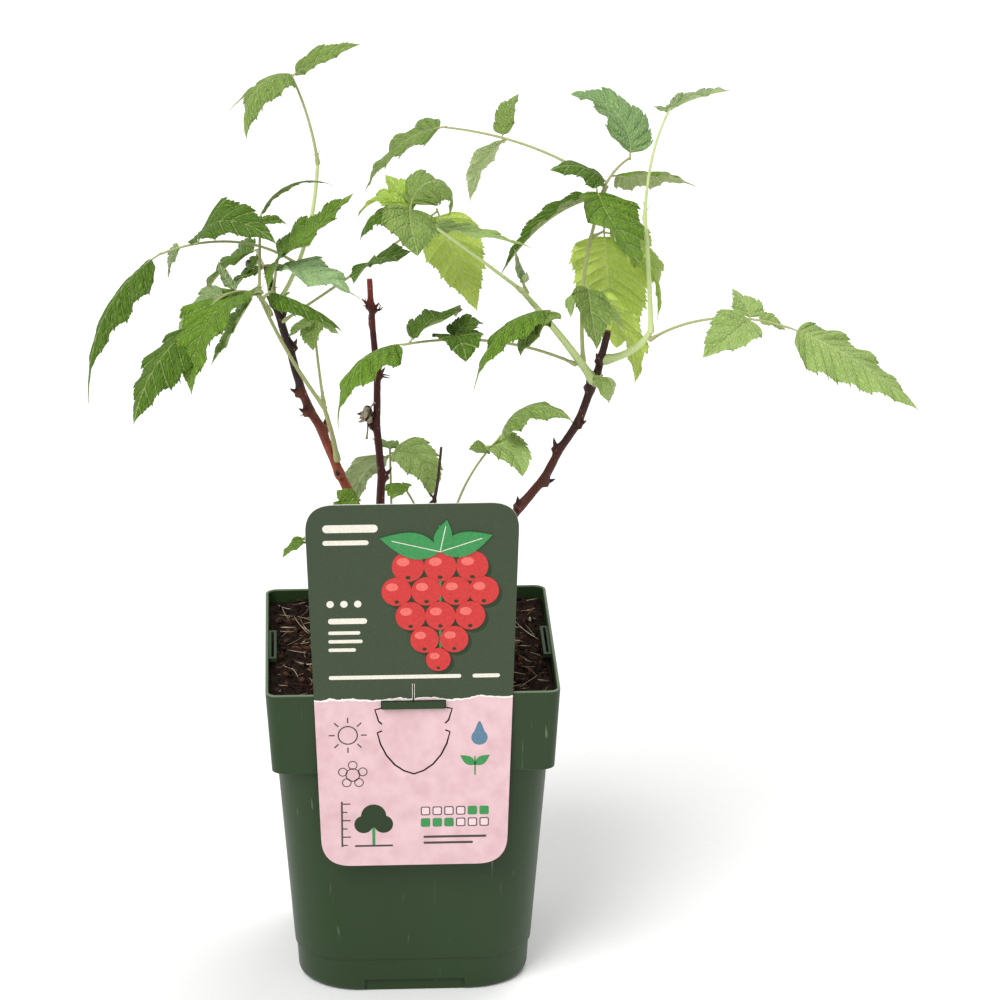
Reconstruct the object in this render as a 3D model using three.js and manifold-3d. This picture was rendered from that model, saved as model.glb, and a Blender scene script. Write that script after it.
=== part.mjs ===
// Raspberry cane in a square nursery pot, with its hanging plant label.
// Millimetres, +Z up, origin at the middle of the pot's flat underside.
// A heading is given in plan as turn (0 right, 90 back, 180 left, 270 front) and as rise above
// level, both in degrees; veer and bend say how far they change over the length, and hook is
// the part of the rise that comes on late, with the square of the way along.

import * as THREE from "three";
import { mergeVertices } from "three/addons/utils/BufferGeometryUtils.js";
import Module from "manifold-3d";

const wasm = await Module();
wasm.setup();

// ---------------------------------------------------------------- driving dimensions
const CLEAR = 0.3; // air between neighbours that touch in the real plant
const POT_HEIGHT = 150.8;
const RIM_HALF = 65;
const COLLAR_FOOT_HALF = 62.7;
const COLLAR_FOOT_Z = 112;
const BODY_TOP_HALF = 60.3;
const BODY_FOOT_HALF = 52.9;
const FOOT_BAND_Z = 16.3;
const WALL = 1.4;
const FLOOR_UNDER_Z = 6.2;
const FLOOR_TOP_Z = 8.6;
const COLLAR_CORNER = 5;
const BODY_CORNER = 18;
const FOOT_CORNER = 27;
const FOOT_NOTCH = { half: 22.5, height: 6 };
const FOOT_PAD_RADIUS = 9;
const SOIL_TOP = 146;
const LABEL = { top: 240, foot: 69, topHalf: 46.8, footHalf: 40.9, corner: 13, thick: 0.8 };
const LEDGE = { half: 13.9, low: 144.8, high: 147.9, reach: 3.2 };
const CORNER_STEPS = 4;
const TUBE_STEPS = 8;
const NARROW = 0.5; // sine of the angle under which a branch starts square beside its limb
const HUSK = { at: 0.63, aside: 4.2, radius: 2.8, stretch: 1.65 };
const LEAF_STALK = { foot: 0.7, tip: 0.5, sides: 5 };
const FOLD = 16; // how far each half of a blade lifts from level, degrees; below 0 it hangs
const BLADE_THICK = 0.9;
const BLADE_STALK = 0.07; // share of a blade that is its own short stalk
const LONG_BLADE = { from: 24, stations: [0, 0.07, 0.13, 0.3, 0.52, 0.78, 1] };
const SHORT_STATIONS = [0, 0.08, 0.25, 0.6, 1];

const COLOURS = {
  pot: 0x42573a,
  soil: 0x2c1d17,
  label: 0x55634f,
  bark: 0x5a2a22,
  stem: 0xa5bd72,
  leaf: 0x5f9434,
};

// ---------------------------------------------------------------- headings and curves
const radians = THREE.MathUtils.degToRad;

function forward(turn, rise) {
  const level = Math.cos(radians(rise));
  return new THREE.Vector3(
    level * Math.cos(radians(turn)),
    level * Math.sin(radians(turn)),
    Math.sin(radians(rise)),
  );
}

// Forward, top and right-hand directions of something that heads turn, rise and is rolled.
function attitude(turn, rise, roll = 0) {
  const ahead = forward(turn, rise);
  const top = forward(turn, rise + 90);
  const side = ahead.clone().cross(top);
  const tip = radians(roll);
  return {
    ahead,
    top: top.clone().multiplyScalar(Math.cos(tip)).addScaledVector(side, Math.sin(tip)),
    side: side.clone().multiplyScalar(Math.cos(tip)).addScaledVector(top, -Math.sin(tip)),
  };
}

// A growing line: it sets off from start and swings evenly as it goes.
class Growth {
  constructor(start, { turn, rise, long, veer = 0, bend = 0, hook = 0 }) {
    Object.assign(this, { turn, rise, long, veer, bend, hook });
    this.steps = 24;
    this.points = [start.clone()];
    for (let step = 0; step < this.steps; step += 1) {
      const share = (step + 0.5) / this.steps;
      const ahead = forward(...this.heading(share));
      this.points.push(this.points[step].clone().addScaledVector(ahead, long / this.steps));
    }
  }

  heading(share) {
    return [this.turn + this.veer * share, this.rise + this.bend * share + this.hook * share ** 2];
  }

  at(share) {
    const place = Math.min(share, 1) * this.steps;
    const step = Math.min(Math.floor(place), this.steps - 1);
    return this.points[step].clone().lerp(this.points[step + 1], place - step);
  }

  attitude(share, roll = 0) {
    return attitude(...this.heading(share), roll);
  }
}

// ---------------------------------------------------------------- closed solids
// Skins a row of rings, each going round counter-clockwise about the way ahead.
function loft(rings) {
  const size = rings[0].length;
  const index = [];
  for (let ring = 0; ring + 1 < rings.length; ring += 1) {
    for (let k = 0; k < size; k += 1) {
      const a = ring * size + k;
      const b = ring * size + ((k + 1) % size);
      index.push(a, b, b + size, a, b + size, a + size);
    }
  }
  const last = (rings.length - 1) * size;
  for (let k = 1; k + 1 < size; k += 1) {
    index.push(0, k + 1, k, last, last + k, last + k + 1);
  }
  const geometry = new THREE.BufferGeometry();
  geometry.setFromPoints(rings.flat());
  geometry.setIndex(index);
  return geometry;
}

function toSolid(geometry) {
  const bare = geometry.clone();
  bare.deleteAttribute("normal");
  bare.deleteAttribute("uv");
  const merged = mergeVertices(bare, 1e-4);
  return new wasm.Manifold(new wasm.Mesh({
    numProp: 3,
    vertProperties: new Float32Array(merged.attributes.position.array),
    triVerts: new Uint32Array(merged.index.array),
  }));
}

function toGeometry(solid) {
  const { vertProperties, triVerts, numProp } = solid.getMesh();
  const points = [];
  for (let i = 0; i < vertProperties.length; i += numProp) {
    points.push(vertProperties[i], vertProperties[i + 1], vertProperties[i + 2]);
  }
  const geometry = new THREE.BufferGeometry();
  geometry.setAttribute("position", new THREE.Float32BufferAttribute(points, 3));
  geometry.setIndex(Array.from(triVerts));
  geometry.computeVertexNormals();
  return geometry;
}

// One body from many: loose scraps are dropped and sealed hollows are filled.
function fuse(solids) {
  const joined = solids.reduce((whole, solid) => whole.add(solid));
  const bodies = joined.decompose();
  return bodies.reduce((best, body) => (body.volume() > best.volume() ? body : best));
}

function box(from, to) {
  const size = new THREE.Vector3().subVectors(to, from);
  const middle = new THREE.Vector3().addVectors(from, to).multiplyScalar(0.5);
  const geometry = new THREE.BoxGeometry(size.x, size.y, size.z);
  return toSolid(geometry.translate(middle.x, middle.y, middle.z));
}

function disc(radius, low, high, x = 0, y = 0, sides = 16) {
  const geometry = new THREE.CylinderGeometry(radius, radius, high - low, sides);
  return toSolid(geometry.rotateX(Math.PI / 2).translate(x, y, (low + high) / 2));
}

// ---------------------------------------------------------------- pot, soil and label
function squareRing(z, half, corner) {
  const ring = [];
  for (let quarter = 0; quarter < 4; quarter += 1) {
    for (let step = 0; step <= CORNER_STEPS; step += 1) {
      const angle = (Math.PI / 2) * (quarter + step / CORNER_STEPS);
      const middle = (Math.PI / 2) * (quarter + 0.5);
      const x = Math.sign(Math.cos(middle)) * (half - corner) + corner * Math.cos(angle);
      const y = Math.sign(Math.sin(middle)) * (half - corner) + corner * Math.sin(angle);
      ring.push(new THREE.Vector3(x, y, z));
    }
  }
  return ring;
}

function squareLoft(levels) {
  return toSolid(loft(levels.map(([z, half, corner]) => squareRing(z, half, corner))));
}

function collarInside(z) {
  const share = (z - COLLAR_FOOT_Z) / (POT_HEIGHT - COLLAR_FOOT_Z);
  return THREE.MathUtils.lerp(COLLAR_FOOT_HALF, RIM_HALF, share) - WALL;
}

function potShell() {
  const skin = squareLoft([
    [0, BODY_FOOT_HALF - 2.3, FOOT_CORNER],
    [1.8, BODY_FOOT_HALF - 1.2, FOOT_CORNER],
    [FOOT_BAND_Z, BODY_FOOT_HALF, FOOT_CORNER - 1],
    [FOOT_BAND_Z + 0.7, BODY_FOOT_HALF + 0.7, FOOT_CORNER - 1.5],
    [COLLAR_FOOT_Z - 0.6, BODY_TOP_HALF, BODY_CORNER],
    [COLLAR_FOOT_Z, COLLAR_FOOT_HALF - 0.8, COLLAR_CORNER + 2],
    [COLLAR_FOOT_Z + 1.4, COLLAR_FOOT_HALF, COLLAR_CORNER],
    [POT_HEIGHT - 0.6, RIM_HALF, COLLAR_CORNER],
    [POT_HEIGHT, RIM_HALF - 0.4, COLLAR_CORNER],
  ]);
  const inside = squareLoft([
    [FLOOR_TOP_Z, BODY_FOOT_HALF - WALL, FOOT_CORNER - 2],
    [COLLAR_FOOT_Z + 0.6, BODY_TOP_HALF - WALL, BODY_CORNER - 1],
    [COLLAR_FOOT_Z + 2.2, collarInside(COLLAR_FOOT_Z + 2.2), COLLAR_CORNER - 1],
    [POT_HEIGHT + 1, collarInside(POT_HEIGHT + 1), COLLAR_CORNER - 1],
  ]);
  return skin.subtract(inside);
}

// The hollow under the floor leaves a skirt, a ring of tabs inside it and a middle pad.
function potUnderside() {
  const hollow = squareLoft([
    [-1, BODY_FOOT_HALF - 4.1, FOOT_CORNER - 2],
    [FLOOR_UNDER_Z, BODY_FOOT_HALF - 2.8, FOOT_CORNER - 2],
  ]);
  const tabs = squareLoft([
    [0, BODY_FOOT_HALF - 8, FOOT_CORNER - 6],
    [FLOOR_UNDER_Z + 1, BODY_FOOT_HALF - 7.8, FOOT_CORNER - 6],
  ]);
  const tabsInside = squareLoft([
    [-1, BODY_FOOT_HALF - 9.6, FOOT_CORNER - 7],
    [FLOOR_UNDER_Z, BODY_FOOT_HALF - 9.4, FOOT_CORNER - 7],
  ]);
  return hollow.subtract(tabs).add(tabsInside).subtract(disc(FOOT_PAD_RADIUS, 0, FLOOR_TOP_Z));
}

function potNotches() {
  const notches = [];
  const reach = BODY_FOOT_HALF + 2;
  for (let side = 0; side < 4; side += 1) {
    const angle = (side * Math.PI) / 2;
    const notch = new THREE.BoxGeometry(2 * FOOT_NOTCH.half, 5, 2 * FOOT_NOTCH.height);
    notches.push(toSolid(notch.translate(0, 2 - reach, 0).rotateZ(angle)));
    const gap = new THREE.BoxGeometry(6, 6, 2 * FOOT_NOTCH.height);
    notches.push(toSolid(gap.translate(9, 10 - reach, 0).rotateZ(angle)));
  }
  for (const x of [-1, 1]) {
    for (const y of [-1, 1]) {
      notches.push(disc(4, FLOOR_UNDER_Z - 1, FLOOR_TOP_Z + 1, 26 * x, 26 * y, 12));
    }
  }
  return notches;
}

// Small open frames inside the rim at the middle of the left and right sides.
function rimFrames() {
  const frames = [];
  for (const side of [-1, 1]) {
    const wall = side * (collarInside(POT_HEIGHT) + 0.4);
    const lip = wall - side * 4;
    const low = SOIL_TOP + 1.6;
    const ends = [Math.min(wall, lip), Math.max(wall, lip)];
    const outer = box(new THREE.Vector3(ends[0], -17, low), new THREE.Vector3(ends[1], 17, low + 1.6));
    const slot = box(
      new THREE.Vector3(Math.min(wall - side * 1.6, lip + side * 1.2), -15, low - 1),
      new THREE.Vector3(Math.max(wall - side * 1.6, lip + side * 1.2), 15, low + 3),
    );
    frames.push(outer.subtract(slot));
  }
  return frames;
}

function pot() {
  const wall = RIM_HALF - 1.2;
  const ledge = box(
    new THREE.Vector3(-LEDGE.half, -RIM_HALF - LEDGE.reach, LEDGE.low),
    new THREE.Vector3(LEDGE.half, -wall, LEDGE.high),
  );
  let body = potShell().subtract(potUnderside());
  for (const notch of potNotches()) {
    body = body.subtract(notch);
  }
  return fuse([body, ledge, ...rimFrames()]);
}

function soil() {
  const gap = CLEAR + 0.05;
  return squareLoft([
    [FLOOR_TOP_Z + CLEAR, BODY_FOOT_HALF - WALL - gap - 0.3, FOOT_CORNER - 2],
    [COLLAR_FOOT_Z + 0.6, BODY_TOP_HALF - WALL - gap, BODY_CORNER - 1],
    [COLLAR_FOOT_Z + 2.6, collarInside(COLLAR_FOOT_Z + 2.2) - gap, COLLAR_CORNER],
    [SOIL_TOP, collarInside(SOIL_TOP) - gap, COLLAR_CORNER],
  ]);
}

// A cut 0.7 wide through the label along a run of points given as x, z.
function labelCuts(points) {
  const cuts = [];
  for (let i = 0; i + 1 < points.length; i += 1) {
    const [x0, z0] = points[i];
    const [x1, z1] = points[i + 1];
    const long = Math.hypot(x1 - x0, z1 - z0) + 0.7;
    const slit = new THREE.BoxGeometry(long, 6, 0.7).rotateY(-Math.atan2(z1 - z0, x1 - x0));
    cuts.push(toSolid(slit.translate((x0 + x1) / 2, -RIM_HALF, (z0 + z1) / 2)));
  }
  return cuts;
}

function label() {
  const { top, foot, topHalf, footHalf, corner, thick } = LABEL;
  const lean = (topHalf - footHalf) / (top - foot);
  const outline = new THREE.Shape();
  outline.moveTo(-footHalf + corner, foot);
  outline.lineTo(footHalf - corner, foot);
  outline.quadraticCurveTo(footHalf, foot, footHalf + lean * corner, foot + corner);
  outline.lineTo(topHalf - lean * corner, top - corner);
  outline.quadraticCurveTo(topHalf, top, topHalf - corner, top);
  outline.lineTo(-topHalf + corner, top);
  outline.quadraticCurveTo(-topHalf, top, -topHalf + lean * corner, top - corner);
  outline.lineTo(-footHalf - lean * corner, foot + corner);
  outline.quadraticCurveTo(-footHalf, foot, -footHalf + corner, foot);
  const card = new THREE.ExtrudeGeometry(outline, { depth: thick, bevelEnabled: false, curveSegments: 6 });
  card.rotateX(Math.PI / 2).translate(0, -RIM_HALF - CLEAR, 0);
  let body = toSolid(card).subtract(box(
    new THREE.Vector3(-LEDGE.half - 0.4, -RIM_HALF - 6, LEDGE.low - CLEAR),
    new THREE.Vector3(LEDGE.half + 0.4, -RIM_HALF + 6, LEDGE.high + CLEAR),
  ));
  const shoulder = [[14, 144.6], [17, 144], [15.4, 138.5], [13.9, 137]];
  const tongue = [[13.9, 133.8], [16, 133], [12, 122], [8.4, 117.5], [0, 113]];
  const mirrored = (points) => points.map(([x, z]) => [-x, z]);
  const slit = [[0, LEDGE.high], [0, 156]];
  for (const line of [shoulder, mirrored(shoulder), tongue, mirrored(tongue), slit]) {
    for (const cut of labelCuts(line)) {
      body = body.subtract(cut);
    }
  }
  return fuse([body]);
}

// ---------------------------------------------------------------- canes and green shoots
// Canes and basal leaves stand at a foot on the soil; the rest sit on an earlier limb.
const LIMBS = [
  {
    name: "cane_left", foot: [4, -4], turn: 171, rise: 72, veer: 31, bend: -28, hook: 37, long: 197,
    thick: [4.8, 3.4], buds: 9,
  },
  {
    name: "cane_middle", foot: [-13, 6], turn: 78, rise: 86, veer: 32, bend: -23, hook: 17, long: 167,
    thick: [4.6, 2.6], buds: 7,
  },
  {
    name: "cane_right", foot: [0, 5], turn: 358, rise: 56, veer: 10, bend: -36, hook: 62, long: 174,
    thick: [4.8, 3.3], buds: 11,
  },
  {
    name: "cane_stub", foot: [10, 14], turn: 37, rise: 88, veer: 4, bend: -5, long: 90,
    thick: [1.8, 1.2], buds: 3,
  },
  {
    name: "shoot_left", on: "cane_left", at: 0.515, turn: 252, rise: 67, veer: -16, bend: -3, long: 30,
    thick: [2.4, 1.8],
  },
  {
    name: "shoot_fork", on: "shoot_left", at: 1, turn: 210, rise: 55, veer: -9, bend: 13, long: 63,
    thick: [1.8, 1.4],
  },
  {
    name: "shoot_crest", on: "cane_left", at: 0.9, turn: 22, rise: 55, veer: 51, bend: 24, long: 63,
    thick: [2, 1.6],
  },
  {
    name: "shoot_front", on: "cane_right", at: 0.86, turn: 224, rise: 51, veer: -9, bend: -3, long: 65,
    thick: [3.8, 2.2],
  },
  {
    name: "shoot_right", on: "cane_right", at: 0.92, turn: 341, rise: 14, veer: -9, bend: 48, long: 26,
    thick: [3.6, 2.6],
  },
  {
    name: "shoot_tall", on: "shoot_right", at: 1, turn: 96, rise: 78, veer: 8, bend: -6, long: 49,
    thick: [2.2, 1.8],
  },
  {
    name: "shoot_back", on: "shoot_front", at: 0.12, turn: 103, rise: 75, veer: -76, bend: -9, long: 77,
    thick: [1.8, 1.4],
  },
];

const grown = new Map();

function radiusAt(limb, share) {
  return THREE.MathUtils.lerp(limb.thick[0], limb.thick[1], share) / 2;
}

// Where a branch begins: CLEAR away from the limb that bears it, or on the soil. One that leaves
// at a narrow angle starts square beside the limb, so that it isn't carried far along it.
function seat(branch) {
  if (branch.foot) {
    return new THREE.Vector3(branch.foot[0], branch.foot[1], SOIL_TOP + CLEAR);
  }
  const bearer = grown.get(branch.on);
  const place = bearer.line.at(branch.at);
  const along = bearer.line.attitude(branch.at).ahead;
  const ahead = forward(branch.turn, branch.rise);
  const cosine = Math.abs(along.dot(ahead));
  const sine = Math.sqrt(1 - cosine * cosine);
  const radius = branch.thick[0] / 2;
  if (branch.at === 1 && along.dot(ahead) > 0.5) {
    return place.addScaledVector(ahead, (CLEAR + radius * sine) / cosine);
  }
  const apart = radiusAt(bearer, branch.at) + CLEAR + radius * cosine;
  if (sine > NARROW) {
    return place.addScaledVector(ahead, apart / sine);
  }
  const aside = ahead.clone().addScaledVector(along, -along.dot(ahead)).normalize();
  return place.addScaledVector(aside, apart);
}

function ringAt(line, share, radius, sides) {
  const { top, side } = line.attitude(share);
  const middle = line.at(share);
  const ring = [];
  for (let k = 0; k < sides; k += 1) {
    const angle = (2 * Math.PI * k) / sides;
    const point = middle.clone().addScaledVector(top, radius * Math.cos(angle));
    ring.push(point.addScaledVector(side, radius * Math.sin(angle)));
  }
  return ring;
}

// A tapering round limb; one that stands on the soil is carried a little further down and cut level.
function taper(limb, line, sides, steps) {
  const rings = [];
  for (let step = 0; step <= steps; step += 1) {
    rings.push(ringAt(line, step / steps, radiusAt(limb, step / steps), sides));
  }
  if (!limb.foot) {
    return toSolid(loft(rings));
  }
  const sunk = line.attitude(0).ahead.multiplyScalar(-4);
  rings.unshift(rings[0].map((point) => point.clone().add(sunk)));
  const wide = 20;
  const ground = box(
    new THREE.Vector3(limb.foot[0] - wide, limb.foot[1] - wide, SOIL_TOP - wide),
    new THREE.Vector3(limb.foot[0] + wide, limb.foot[1] + wide, SOIL_TOP + CLEAR),
  );
  return toSolid(loft(rings)).subtract(ground);
}

// Buds stand at even steps up a cane, each two fifths of a turn round from the last.
function caneBuds(limb, line) {
  const buds = [];
  for (let number = 0; number < limb.buds; number += 1) {
    const share = (number + 0.35) / (limb.buds + 0.2);
    const { ahead, top, side } = line.attitude(share);
    const round = radians(144 * number + 40);
    const out = top.multiplyScalar(Math.cos(round)).addScaledVector(side, Math.sin(round));
    const radius = radiusAt(limb, share);
    const bud = new THREE.ConeGeometry(radius * 0.62, radius * 2, 5).translate(0, radius * 0.7, 0);
    const lean = out.clone().multiplyScalar(0.8).add(ahead).normalize();
    bud.applyQuaternion(new THREE.Quaternion().setFromUnitVectors(new THREE.Vector3(0, 1, 0), lean));
    const seatPoint = line.at(share).addScaledVector(out, radius * 0.5);
    buds.push(toSolid(bud.translate(seatPoint.x, seatPoint.y, seatPoint.z)));
  }
  return buds;
}

// The withered bud that still hangs on the middle cane.
function witheredBud(line) {
  const { side } = line.attitude(HUSK.at);
  const place = line.at(HUSK.at).addScaledVector(side, -HUSK.aside);
  const husk = new THREE.IcosahedronGeometry(HUSK.radius, 1).scale(1, 1, HUSK.stretch);
  return toSolid(husk.translate(place.x, place.y, place.z));
}

function growLimb(limb) {
  const line = new Growth(seat(limb), limb);
  grown.set(limb.name, { ...limb, line });
  const parts = [taper(limb, line, limb.buds ? 8 : 6, TUBE_STEPS)];
  if (limb.buds) {
    parts.push(...caneBuds(limb, line));
  }
  if (limb.name === "cane_middle") {
    parts.push(witheredBud(line));
  }
  return fuse(parts);
}

// ---------------------------------------------------------------- leaves
// Each leaf is a stalk with leaflets at shares of its length; a leaflet's roll tips its face.
const leaflet = (at, turn, rise, long, wide, swing = {}) => ({ at, turn, rise, long, wide, ...swing });

const LEAVES = [
  {
    name: "leaf_crest", on: "shoot_crest", at: 1, turn: 124, rise: 76, veer: 1, bend: -30, long: 40,
    leaflets: [
      leaflet(1, 228, 29, 47, 20, { veer: -16, bend: -138, roll: 6, fold: -16 }),
      leaflet(0.97, 138, -10, 39, 8, { veer: 25, bend: -41, roll: -7 }),
      leaflet(0.98, 341, 39, 36, 12, { veer: 2, bend: -22, roll: 32 }),
    ],
  },
  {
    name: "leaf_arching", on: "shoot_fork", at: 1, turn: 78, rise: 85, veer: -4, bend: -4, long: 34,
    leaflets: [
      leaflet(1, 15, 73, 40, 5, { veer: -12, bend: -101, roll: -10, fold: -16 }),
      leaflet(0.89, 44, 19, 16, 8, { veer: -10, bend: -58, roll: 12 }),
    ],
  },
  {
    name: "leaf_folded", on: "shoot_fork", at: 0.97, turn: 300, rise: 35, long: 8,
    leaflets: [leaflet(1, 293, 13, 43, 12, { veer: 100, bend: -68, fold: -40 })],
  },
  {
    name: "leaf_far_left", on: "shoot_crest", at: 0.27, turn: 209, rise: 40, veer: -20, bend: -60, long: 66,
    leaflets: [
      leaflet(0.74, 299, 62, 52, 24, { veer: 44, bend: -105, roll: 32 }),
      leaflet(0.86, 120, -33, 21, 8, { veer: 11, bend: -52, roll: -65 }),
      leaflet(1, 197, -26, 77, 20, { veer: 31, bend: -66, roll: 3, fold: -16 }),
    ],
  },
  {
    name: "leaf_near_left", on: "shoot_fork", at: 0.86, turn: 220, rise: 70, veer: -13, bend: -133, long: 46,
    leaflets: [
      leaflet(0.25, 222, 20, 66, 34, { veer: 21, bend: -113, roll: 14 }),
      leaflet(1, 212, -18, 56, 28, { veer: 18, bend: -53, fold: -16 }),
      leaflet(0.5, 151, 25, 16, 7, { veer: -17, bend: 51, roll: 4 }),
      leaflet(0.6, 163, -13, 37, 16, { veer: 10, bend: -75, roll: -19 }),
      leaflet(0.3, 134, -55, 44, 16, { veer: 22, bend: -4, roll: -40 }),
    ],
  },
  {
    name: "leaf_back_left", on: "cane_left", at: 0.97, turn: 102, rise: 10, veer: 3, bend: 5, long: 23,
    leaflets: [
      leaflet(1, 134, -20, 46, 20, { veer: 4, bend: -40, roll: -24 }),
      leaflet(0.4, 142, -49, 14, 7, { veer: 24, bend: 40, roll: -20 }),
      leaflet(0.66, 129, -39, 38, 14, { veer: -5, bend: -10, roll: -38 }),
    ],
  },
  {
    name: "leaf_front_left", on: "cane_left", at: 0.93, turn: 277, rise: 49, veer: 2, bend: 4, long: 23,
    leaflets: [
      leaflet(1, 18, 35, 46, 24, { veer: 14, bend: -2, roll: -5 }),
      leaflet(0.86, 323, 1, 43, 28, { veer: 39, bend: -39, roll: -2 }),
      leaflet(0.93, 273, 30, 27, 12, { veer: -29, bend: -87, roll: 54 }),
    ],
  },
  {
    name: "leaf_star", on: "shoot_left", at: 0.95, turn: 123, rise: 76, veer: 13, bend: 10, long: 39,
    leaflets: [
      leaflet(0.96, 216, -21, 15, 9, { roll: 6 }),
      leaflet(1, 267, -48, 18, 12, { roll: 30 }),
      leaflet(0.96, 340, -27, 13, 9, { roll: 4 }),
    ],
  },
  {
    name: "leaf_high_back", on: "shoot_back", at: 1, turn: 132, rise: 19, veer: 28, bend: -18, long: 86,
    leaflets: [
      leaflet(0.67, 64, 77, 23, 13, { veer: -15, bend: -50, roll: -18 }),
      leaflet(0.65, 135, -33, 42, 14, { veer: -3, bend: -47, roll: 5 }),
      leaflet(1, 151, -12, 56, 22, { veer: 12, bend: -58, roll: -20, fold: -16 }),
    ],
  },
  {
    name: "leaf_front_crown", on: "shoot_front", at: 1, turn: 223, rise: 38, veer: -10, long: 79,
    thick: [1.8, 1.2],
    leaflets: [
      leaflet(1, 263, -13, 28, 25, { veer: 29, bend: -38, roll: -16 }),
      leaflet(0.99, 31, 94, 40, 20, { veer: -8, bend: -222, roll: 30, fold: -16 }),
      leaflet(0.98, 129, 42, 21, 15, { veer: 4, bend: -11, roll: -3 }),
      leaflet(0.95, 147, 42, 34, 16, { veer: 2, bend: -106, roll: -10 }),
      leaflet(0.94, 155, 23, 37, 14, { veer: -7, bend: -106, roll: -25, fold: -16 }),
    ],
  },
  {
    name: "leaf_centre", on: "cane_left", at: 0.86, turn: 339, rise: 36, veer: 22, bend: 3, long: 86,
    leaflets: [
      leaflet(0.6, 282, 13, 25, 14, { veer: 60, bend: 11, roll: 30 }),
      leaflet(0.56, 250, 4, 16, 14, { veer: -24, bend: -54, roll: 33 }),
      leaflet(0.84, 298, 21, 62, 16, { veer: 87, bend: -49 }),
      leaflet(1, 37, -67, 57, 28, { veer: 5, bend: 3, roll: -44 }),
    ],
  },
  {
    name: "leaf_young_pair", on: "shoot_front", at: 0.95, turn: 181, rise: 69, long: 4,
    leaflets: [
      leaflet(1, 186, 65, 17, 6, { bend: 21, roll: -29 }),
      leaflet(0.8, 300, 62, 7, 4, { bend: 10 }),
    ],
  },
  {
    name: "leaf_right_top", on: "shoot_back", at: 0.93, turn: 20, rise: 74, veer: -3, bend: -46, long: 23,
    leaflets: [
      leaflet(1, 80, 54, 49, 24, { veer: 95, bend: -51, roll: 28 }),
      leaflet(0.32, 196, 53, 30, 18, { bend: -71, roll: -15, fold: -16 }),
      leaflet(0.46, 39, -3, 58, 18, { veer: 4, bend: -26, roll: -34, fold: -16 }),
    ],
  },
  {
    name: "leaf_right_front", on: "shoot_back", at: 0.86, turn: 262, rise: 54, long: 13,
    leaflets: [
      leaflet(1, 281, -33, 42, 32, { veer: 45, bend: -11, roll: -15 }),
      leaflet(0.66, 215, 0, 63, 14, { veer: 2, bend: -51, roll: 15, fold: 36 }),
    ],
  },
  {
    name: "leaf_right_big", on: "shoot_back", at: 0.7, turn: 49, rise: 3, long: 8,
    leaflets: [
      leaflet(1, 73, -71, 63, 36, { veer: -19, bend: -7, roll: -4 }),
      leaflet(0.8, 24, -13, 63, 24, { veer: 20, bend: -89, roll: 50 }),
    ],
  },
  {
    name: "leaf_right_low", on: "shoot_back", at: 0.33, turn: 274, rise: 33, long: 21,
    leaflets: [
      leaflet(1, 269, -33, 31, 20, { veer: 20, bend: -33, roll: -26 }),
      leaflet(0.5, 223, 24, 17, 9, { veer: 28, bend: -110, roll: 28 }),
      leaflet(0.3, 336, -28, 25, 12, { veer: 38, bend: -25, roll: 14 }),
    ],
  },
  {
    name: "leaf_behind_cane", on: "shoot_back", at: 0.4, turn: 70, rise: -33, long: 10,
    leaflets: [leaflet(1, 0, -30, 50, 28, { bend: -65, roll: -30 })],
  },
  {
    name: "leaf_drooping", on: "shoot_front", at: 0.62, turn: 268, rise: 41, veer: -11, bend: -6, long: 11,
    leaflets: [
      leaflet(1, 219, 16, 59, 22, { veer: 1, bend: -94, roll: 11, fold: -16 }),
      leaflet(0.8, 241, -2, 27, 22, { veer: -26, bend: -66, roll: 15 }),
    ],
  },
  {
    name: "leaf_top_right", on: "shoot_tall", at: 1, turn: 74, rise: 79, veer: -28, bend: -33, long: 50,
    leaflets: [
      leaflet(1, 23, 22, 32, 16, { bend: -25, roll: -11 }),
      leaflet(0.97, 144, 9, 8, 6, { roll: 6 }),
      leaflet(0.98, 69, 2, 26, 9, { roll: -37 }),
    ],
  },
  {
    name: "leaf_far_right", on: "shoot_right", at: 0.9, turn: 333, rise: 36, veer: 10, bend: -51, long: 66,
    leaflets: [
      leaflet(0.74, 238, -3, 35, 22, { veer: -27, bend: -27, roll: -24 }),
      leaflet(0.73, 92, 23, 20, 16, { veer: 41, bend: 8, roll: 16 }),
      leaflet(0.78, 12, -2, 15, 8, { veer: -2, bend: -45, roll: 28 }),
      leaflet(1, 347, -18, 69, 28, { veer: -5, bend: -24, roll: 24, fold: -16 }),
    ],
  },
  {
    name: "leaf_mid_front", on: "shoot_front", at: 0.2, turn: 211, rise: 30, veer: -1, bend: -29, long: 93,
    thick: [1.5, 1.1],
    leaflets: [
      leaflet(0.73, 286, 44, 23, 22, { bend: -113 }),
      leaflet(0.72, 33, 66, 18, 16, { veer: -6, bend: -99 }),
      leaflet(0.97, 26, 50, 40, 20, { veer: 50, bend: -90, roll: -14 }),
      leaflet(1, 203, 12, 55, 26, { veer: 22, bend: -109, roll: 11, fold: -16 }),
    ],
  },
  {
    name: "leaf_low_right", foot: [15, -14], turn: 258, rise: 94, veer: 75, bend: -46, long: 127,
    leaflets: [
      leaflet(0.92, 211, 10, 11, 9, { roll: -19 }),
      leaflet(0.93, 316, 32, 25, 18, { veer: -4, bend: -113, roll: 12 }),
      leaflet(1, 318, 81, 44, 20, { veer: 24, bend: -121, roll: 15, fold: -16 }),
    ],
  },
  {
    name: "leaf_low_middle", foot: [-6, 15], turn: 96, rise: 79, veer: -4, bend: -4, long: 86,
    leaflets: [
      leaflet(0.97, 330, 30, 35, 20, { veer: -13, bend: -135, roll: 21 }),
      leaflet(0.96, 141, -21, 41, 20, { bend: -68, roll: 20 }),
      leaflet(1, 108, -2, 17, 12, { roll: 12 }),
    ],
  },
  {
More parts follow.
